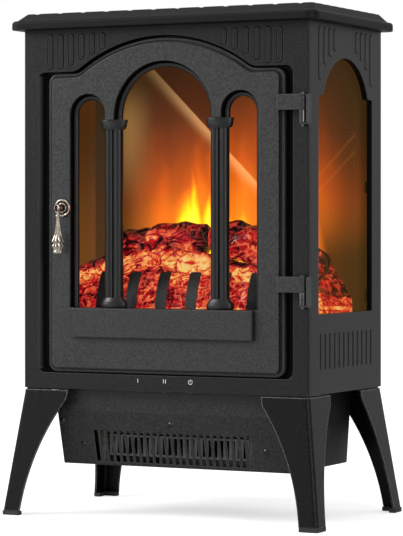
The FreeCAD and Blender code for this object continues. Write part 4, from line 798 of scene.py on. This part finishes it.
def ember_chips(material):
    """Pale bright grit along the foot of the embers."""
    rng = random.Random(11)
    count = 520
    half = 0.17
    foot_y = -0.0675
    foot_z = 0.2395
    points = []
    faces = []
    for _ in range(count):
        x = rng.uniform(-half, half)
        centre = Vector((x, foot_y - rng.uniform(0, 0.003), foot_z + abs(rng.gauss(0, 0.004))))
        chip_points, chip_faces = chip(centre, rng.uniform(0.0011, 0.0024), rng)
        offset = len(points)
        points += chip_points
        faces += [tuple(i + offset for i in face) for face in chip_faces]
    return mesh_piece("ember_chips", points, faces, material, "case", smooth=False)


# Log set: name, points along the middle, radius, seed
LOGS = (
    ("log_left", ((-0.166, -0.027, 0.272), (-0.135, -0.026, 0.284), (-0.098, -0.025, 0.299)), 0.0185, 1),
    ("log_hump", ((-0.105, -0.025, 0.307), (-0.08, -0.024, 0.3185), (-0.05, -0.024, 0.3215)), 0.0222, 6),
    ("log_middle", ((-0.062, -0.024, 0.3185), (-0.02, -0.024, 0.3272), (0.0205, -0.024, 0.3235)), 0.0226, 2),
    ("log_right", ((0.024, -0.025, 0.3265), (0.1, -0.026, 0.3205), (0.171, -0.022, 0.289)), 0.0232, 3),
    ("log_front_left", ((-0.165, -0.038, 0.268), (-0.09, -0.037, 0.295), (-0.02, -0.036, 0.309)), 0.0158, 4),
    ("log_front_right", ((-0.034, -0.036, 0.308), (0.05, -0.037, 0.2925), (0.156, -0.038, 0.265)), 0.0158, 5),
)


def build_fire():
    crust = ember_material("log_crust", "crust")
    front = ember_material("log_ember", "split")
    coals = ember_material("ember_coals", "coals")
    pieces = [bark_log(name, line, radius, seed, front if "front" in name else crust)
              for name, line, radius, seed in LOGS]
    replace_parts(pieces[0], "log_set")
    bed = ember_bed(coals)
    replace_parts(bed, "ember_bed")
    ember_chips(pale_grit())


# Drop handle
# The pull: height below its pivot, half width, and how far its leaves part, all seen from the front
PULL_OUTLINE = (
    (2.1, 0.1, 0.0), (2.2, 1.3, 0.0), (5.0, 1.25, 0.0), (8.0, 1.35, 0.0), (8.6, 2.3, 0.0), (9.0, 2.8, 0.0),
    (9.8, 3.1, 0.0), (10.6, 2.7, 0.0), (11.2, 1.9, 0.1), (15.0, 2.1, 0.25), (20.5, 2.7, 0.35),
    (26.6, 3.7, 0.42), (32.7, 5.0, 0.5), (36.5, 6.7, 0.6), (39.0, 8.2, 0.7), (39.9, 8.3, 0.7),
    (40.8, 7.0, 0.55), (42.4, 5.9, 0.45), (43.6, 6.9, 0.6), (45.2, 8.0, 0.7), (46.0, 8.0, 0.7),
    (47.0, 6.9, 0.5), (49.6, 5.3, 0.3), (50.8, 5.2, 0.1), (51.4, 6.0, 0.0), (52.4, 6.4, 0.0),
    (53.4, 6.1, 0.0), (54.4, 4.6, 0.0), (55.0, 0.1, 0.0),
)
# How thin the pull is from front to back, against its width, and how many leaves it has
PULL_FLATNESS = 0.62
PULL_LEAVES = 8
# The ring at its top: from the pin to the middle of its wire, the wire's radius, and half the ring's width
EYE_RADIUS = 1.62
EYE_WIRE = 0.6
EYE_HALF_WIDTH = 1.1
# The backplate: distance from its middle and height above the door
ROSETTE_OUTLINE = (
    (10.7, 0.0), (10.7, 1.2), (10.3, 2.2), (9.6, 2.7), (8.8, 2.6), (8.2, 1.9), (7.8, 1.2), (7.2, 1.0),
    (6.6, 1.3), (6.2, 2.3), (5.7, 3.1), (5.1, 3.3), (4.6, 2.9), (4.2, 2.1), (3.6, 1.7), (3.0, 1.7),
)
# The handle's sizes above are in millimetres
MM = 0.001


def smooth_outline(points, steps):
    """Catmull-Rom curve through an outline, so that a few sizes give a flowing profile."""
    rows = []
    last = len(points) - 1
    for i in range(last):
        p = [Vector(points[max(0, min(last, k))]) for k in (i - 1, i, i + 1, i + 2)]
        for step in range(steps):
            t = step / steps
            slope = (p[2] - p[0]) * t
            curve = (2 * p[0] - 5 * p[1] + 4 * p[2] - p[3]) * t * t
            twist = (3 * p[1] - p[0] - 3 * p[2] + p[3]) * t ** 3
            rows.append(0.5 * (2 * p[1] + slope + curve + twist))
    return rows + [Vector(points[last])]


def drop_pull(material):
    """Drop of leaves that flare in two tiers over a round foot, hung from an eye ring."""
    low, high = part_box("handle_pendant")
    centre_x = (low.x + high.x) / 2
    centre_y = (low.y + high.y) / 2
    pivot_z = low.z + PULL_OUTLINE[-1][0] * MM
    rows = smooth_outline(PULL_OUTLINE, 5)
    columns = 96
    points = []
    for drop, half, parting in rows:
        for c in range(columns):
            angle = 2 * math.pi * c / columns
            leaf = abs(math.cos(angle * PULL_LEAVES / 2)) ** 0.7
            r = max(0.05, half * (1 - 0.55 * parting * (1 - leaf))) * MM
            y = centre_y + PULL_FLATNESS * r * math.sin(angle)
            points.append((centre_x + r * math.cos(angle), y, pivot_z - drop * MM))
    faces = grid_faces(len(rows), columns, True)
    around = 40
    across = 14
    start = len(points)
    for i in range(around + 1):
        turn = 2 * math.pi * i / around
        for c in range(across):
            angle = 2 * math.pi * c / across
            reach = (EYE_RADIUS + EYE_WIRE * math.cos(angle)) * MM
            x = centre_x + EYE_HALF_WIDTH * MM * math.sin(angle)
            points.append((x, centre_y + reach * math.sin(turn), pivot_z + reach * math.cos(turn)))
    faces += [tuple(start + i for i in face) for face in grid_faces(around + 1, across, True)]
    return mesh_piece("drop_pull", points, faces, material, "pendant")


def rosette_plate(material):
    """Dished backplate with a rolled rim and an inner ring round the post."""
    low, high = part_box("handle_rosette")
    centre_x = (low.x + high.x) / 2
    centre_z = (low.z + high.z) / 2
    rows = smooth_outline(ROSETTE_OUTLINE, 5)
    columns = 120
    points = []
    for radius, rise in rows:
        for c in range(columns):
            angle = 2 * math.pi * c / columns
            x = centre_x + radius * MM * math.cos(angle)
            z = centre_z + radius * MM * math.sin(angle)
            points.append((x, high.y - rise * MM, z))
    faces = grid_faces(len(rows), columns, True)
    return mesh_piece("rosette_plate", points, faces, material, "door")


# Foam strips
# Half sizes: along the leg's edge, through it and upwards
STRIP_HALF_LONG = 0.0115
STRIP_HALF_THICK = 0.0028
STRIP_HALF_TALL = 0.0009
# The height of the slit, and the middles of the strips in the front edges and in the side edges
SLIT_Z = 0.151
FRONT_STRIP = (0.1398, -0.0992)
SIDE_STRIP = (0.1812, 0.0572)


def block(x, y, half_x, half_y, first):
    """Corners and faces of an upright block in the slit; its corners are numbered from first."""
    corners = ((-1, -1), (1, -1), (1, 1), (-1, 1))
    heights = (SLIT_Z - STRIP_HALF_TALL, SLIT_Z + STRIP_HALF_TALL)
    points = [Vector((x + i * half_x, y + j * half_y, z)) for z in heights for i, j in corners]
    quads = [(3, 2, 1, 0), (4, 5, 6, 7), (0, 1, 5, 4), (1, 2, 6, 5), (2, 3, 7, 6), (3, 0, 4, 7)]
    return points, [tuple(first + i for i in quad) for quad in quads]


def leg_strips(material):
    """Black foam strips that close the slit over the legs' upper edges, beside their flanges."""
    spots = [(side * FRONT_STRIP[0], FRONT_STRIP[1], STRIP_HALF_LONG, STRIP_HALF_THICK) for side in (-1, 1)]
    spots += [(side * SIDE_STRIP[0], end * SIDE_STRIP[1], STRIP_HALF_THICK, STRIP_HALF_LONG)
              for side in (-1, 1) for end in (-1, 1)]
    points = []
    faces = []
    for spot in spots:
        block_points, block_faces = block(*spot, len(points))
        points += block_points
        faces += block_faces
    return mesh_piece("leg_strips", points, faces, material, "case", smooth=False)


# Paint the CAD nodes by their record slot
def slot_materials():
    return {
        "case_coat": powder_coat("case_coat", CASE_COLOUR),
        "leg_coat": powder_coat("leg_coat", (0.0014, 0.0014, 0.0015), 0.3, 0.15, 0.0022, edge_lift=0.27),
        "door_coat": powder_coat("door_coat", (0.019, 0.019, 0.0195), specular=0.3),
        "door_casting": cast_coat("door_casting", (0.004, 0.004, 0.0043)),
        "screen_acrylic": flame_screen_material(),
        "firebox_black": black_firebox(),
        "zinc_plate": plated_steel("zinc_plate", (0.55, 0.56, 0.57), 0.36),
        "screw_black": moulded_plastic("screw_black", (0.004, 0.004, 0.004), 0.26),
        "bright_metal": bright_metal(),
        "pewter": pewter(),
        "mirror_metal": plated_steel("mirror_metal", (0.85, 0.85, 0.86), 0.12),
        # The fins are darker than bare metal: painted shade inside the housing
        "fin_metal": plated_steel("fin_metal", (0.14, 0.14, 0.14), 0.45),
        "mica": mica_board(),
        "motor_steel": plated_steel("motor_steel", (0.42, 0.42, 0.44), 0.4),
        "rubber_black": rubber(),
        "nylon_black": moulded_plastic("nylon_black", (0.018, 0.018, 0.019)),
        "board_green": circuit_board(),
        "cutout_brown": moulded_plastic("cutout_brown", (0.1, 0.035, 0.015), 0.35),
        "magnet_grey": moulded_plastic("magnet_grey", (0.1, 0.1, 0.1), 0.6),
        "clear_glass": pane_glass("clear_glass", (0.985, 0.98, 0.97)),
    }


def paint_nodes():
    materials = slot_materials()
    # A lighter copy of the case coat for the side panels: painted light on the sides
    side_coat_painted_light = powder_coat("side_coat_painted_light", (0.0115, 0.0115, 0.0118), details=side_details)
    own = {
        "front_panel": powder_coat("front_coat", CASE_COLOUR, details=front_details),
        # A lighter copy of the case coat: painted light on the housing, which sits in shade under the body
        "heater_housing": powder_coat("housing_coat_painted_light", (0.019, 0.019, 0.0195)),
        # A darker copy of the case coat: painted shade on the lid
        "top_lid": powder_coat("lid_coat_painted_shade", (0.0035, 0.0035, 0.0037), roughness=0.5, specular=0.12),
        "grate_fingers": finger_metal(),
        "side_panel_left": side_coat_painted_light,
        "side_panel_right": side_coat_painted_light,
        # The side panes give out painted fire glow, far more on the left
        "side_glass_left": pane_glass("smoked_glass_left", (0.97, 0.93, 0.87), (0.085, 0.031, 0.007)),
        "side_glass_right": pane_glass("smoked_glass_right", (0.97, 0.93, 0.87), (0.012, 0.007, 0.0015)),
    }
    for part in frame["record"]["subparts"]:
        node = nodes[part["node"]]
        material = own.get(part["node"]) or materials.get(part["material_slot"])
        if material is None:
            # The fire's resin pieces are replaced whole
            continue
        node.data.materials.clear()
        node.data.materials.append(material)
    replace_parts(drop_pull(materials["pewter"]), "handle_pendant")
    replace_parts(rosette_plate(materials["pewter"]), "handle_rosette")
    leg_strips(materials["rubber_black"])


# Studio
def camera():
    data = bpy.data.cameras.new("camera")
    data.lens = 170.0
    # The lens stays level, so that upright edges stay upright
    data.shift_y = -0.0783
    data.clip_end = 60
    lens = bpy.data.objects.new("camera", data)
    lens.location = (1.3782, -2.7185, 0.3454)
    lens.rotation_euler = (math.radians(90), 0, math.radians(26.92))
    bpy.context.scene.collection.objects.link(lens)
    bpy.context.scene.camera = lens


def soft_light(name, place, target, size, power):
    data = bpy.data.lights.new(name, "AREA")
    data.shape = "RECTANGLE"
    data.size, data.size_y = size
    data.energy = power
    lamp = bpy.data.objects.new(name, data)
    lamp.location = place
    lamp.rotation_euler = (Vector(target) - Vector(place)).to_track_quat("-Z", "Y").to_euler()
    bpy.context.scene.collection.objects.link(lamp)


def seen_straight(tree):
    """The light path, and a value that is 1 where the room is met directly and 0 on through a pane."""
    path = tree.nodes.new("ShaderNodeLightPath")
    node = tree.nodes.new("ShaderNodeMath")
    node.operation = "LESS_THAN"
    tree.links.new(path.outputs["Transparent Depth"], node.inputs[0])
    node.inputs[1].default_value = 0.5
    return path, node.outputs[0]


def floor():
    """White sweep: it is lit for the eye, but throws little light up at the stove."""
    size = 40.0
    s = Shader("studio_floor", 0.9, specular=0.0)
    path, straight = seen_straight(s.tree)
    tone = s.ramp(s.noise(3, 2), [(0.3, (0.59, 0.59, 0.59)), (0.7, (0.61, 0.61, 0.61))])
    s.set("Base Color", s.mix(straight, BLACK, tone))
    s.set("Emission Color", (*WHITE, 1.0))
    s.set("Emission Strength", s.times(s.times(path.outputs["Is Camera Ray"], straight), 0.58))
    mesh = bpy.data.meshes.new("studio_floor")
    corners = [(-size, -size, 0), (size, -size, 0), (size, size, 0), (-size, size, 0)]
    mesh.from_pydata(corners, [], [(0, 1, 2, 3)])
    mesh.materials.append(s.material)
    plane = bpy.data.objects.new("studio_floor", mesh)
    bpy.context.scene.collection.objects.link(plane)


def world():
    """White to the eye, softer as a light, and dark through the panes."""
    sky = bpy.data.worlds.new("studio")
    sky.use_nodes = True
    tree = sky.node_tree
    shine = tree.nodes["Background"]
    shine.inputs["Color"].default_value = (*WHITE, 1.0)
    path, straight = seen_straight(tree)
    level = tree.nodes.new("ShaderNodeMapRange")
    level.inputs["To Min"].default_value = 0.72
    level.inputs["To Max"].default_value = 1.0
    tree.links.new(path.outputs["Is Camera Ray"], level.inputs["Value"])
    product = tree.nodes.new("ShaderNodeMath")
    product.operation = "MULTIPLY"
    tree.links.new(level.outputs[0], product.inputs[0])
    tree.links.new(straight, product.inputs[1])
    tree.links.new(product.outputs[0], shine.inputs["Strength"])
    bpy.context.scene.world = sky


def studio():
    camera()
    floor()
    world()
    soft_light("key", (-2.7, -1.7, 1.9), (0, 0, 0.35), (1.5, 1.5), 100)
    soft_light("fill", (2.7, -2.0, 1.1), (0, 0, 0.35), (1.2, 1.6), 34)
    soft_light("top", (0.1, -0.5, 2.8), (0, 0, 0.3), (2.0, 2.0), 34)
    soft_light("low", (-1.3, -2.3, 0.3), (0, -0.1, 0.08), (1.6, 0.5), 5)
    bpy.context.scene.view_settings.view_transform = "Standard"


paint_nodes()
build_fire()
studio()
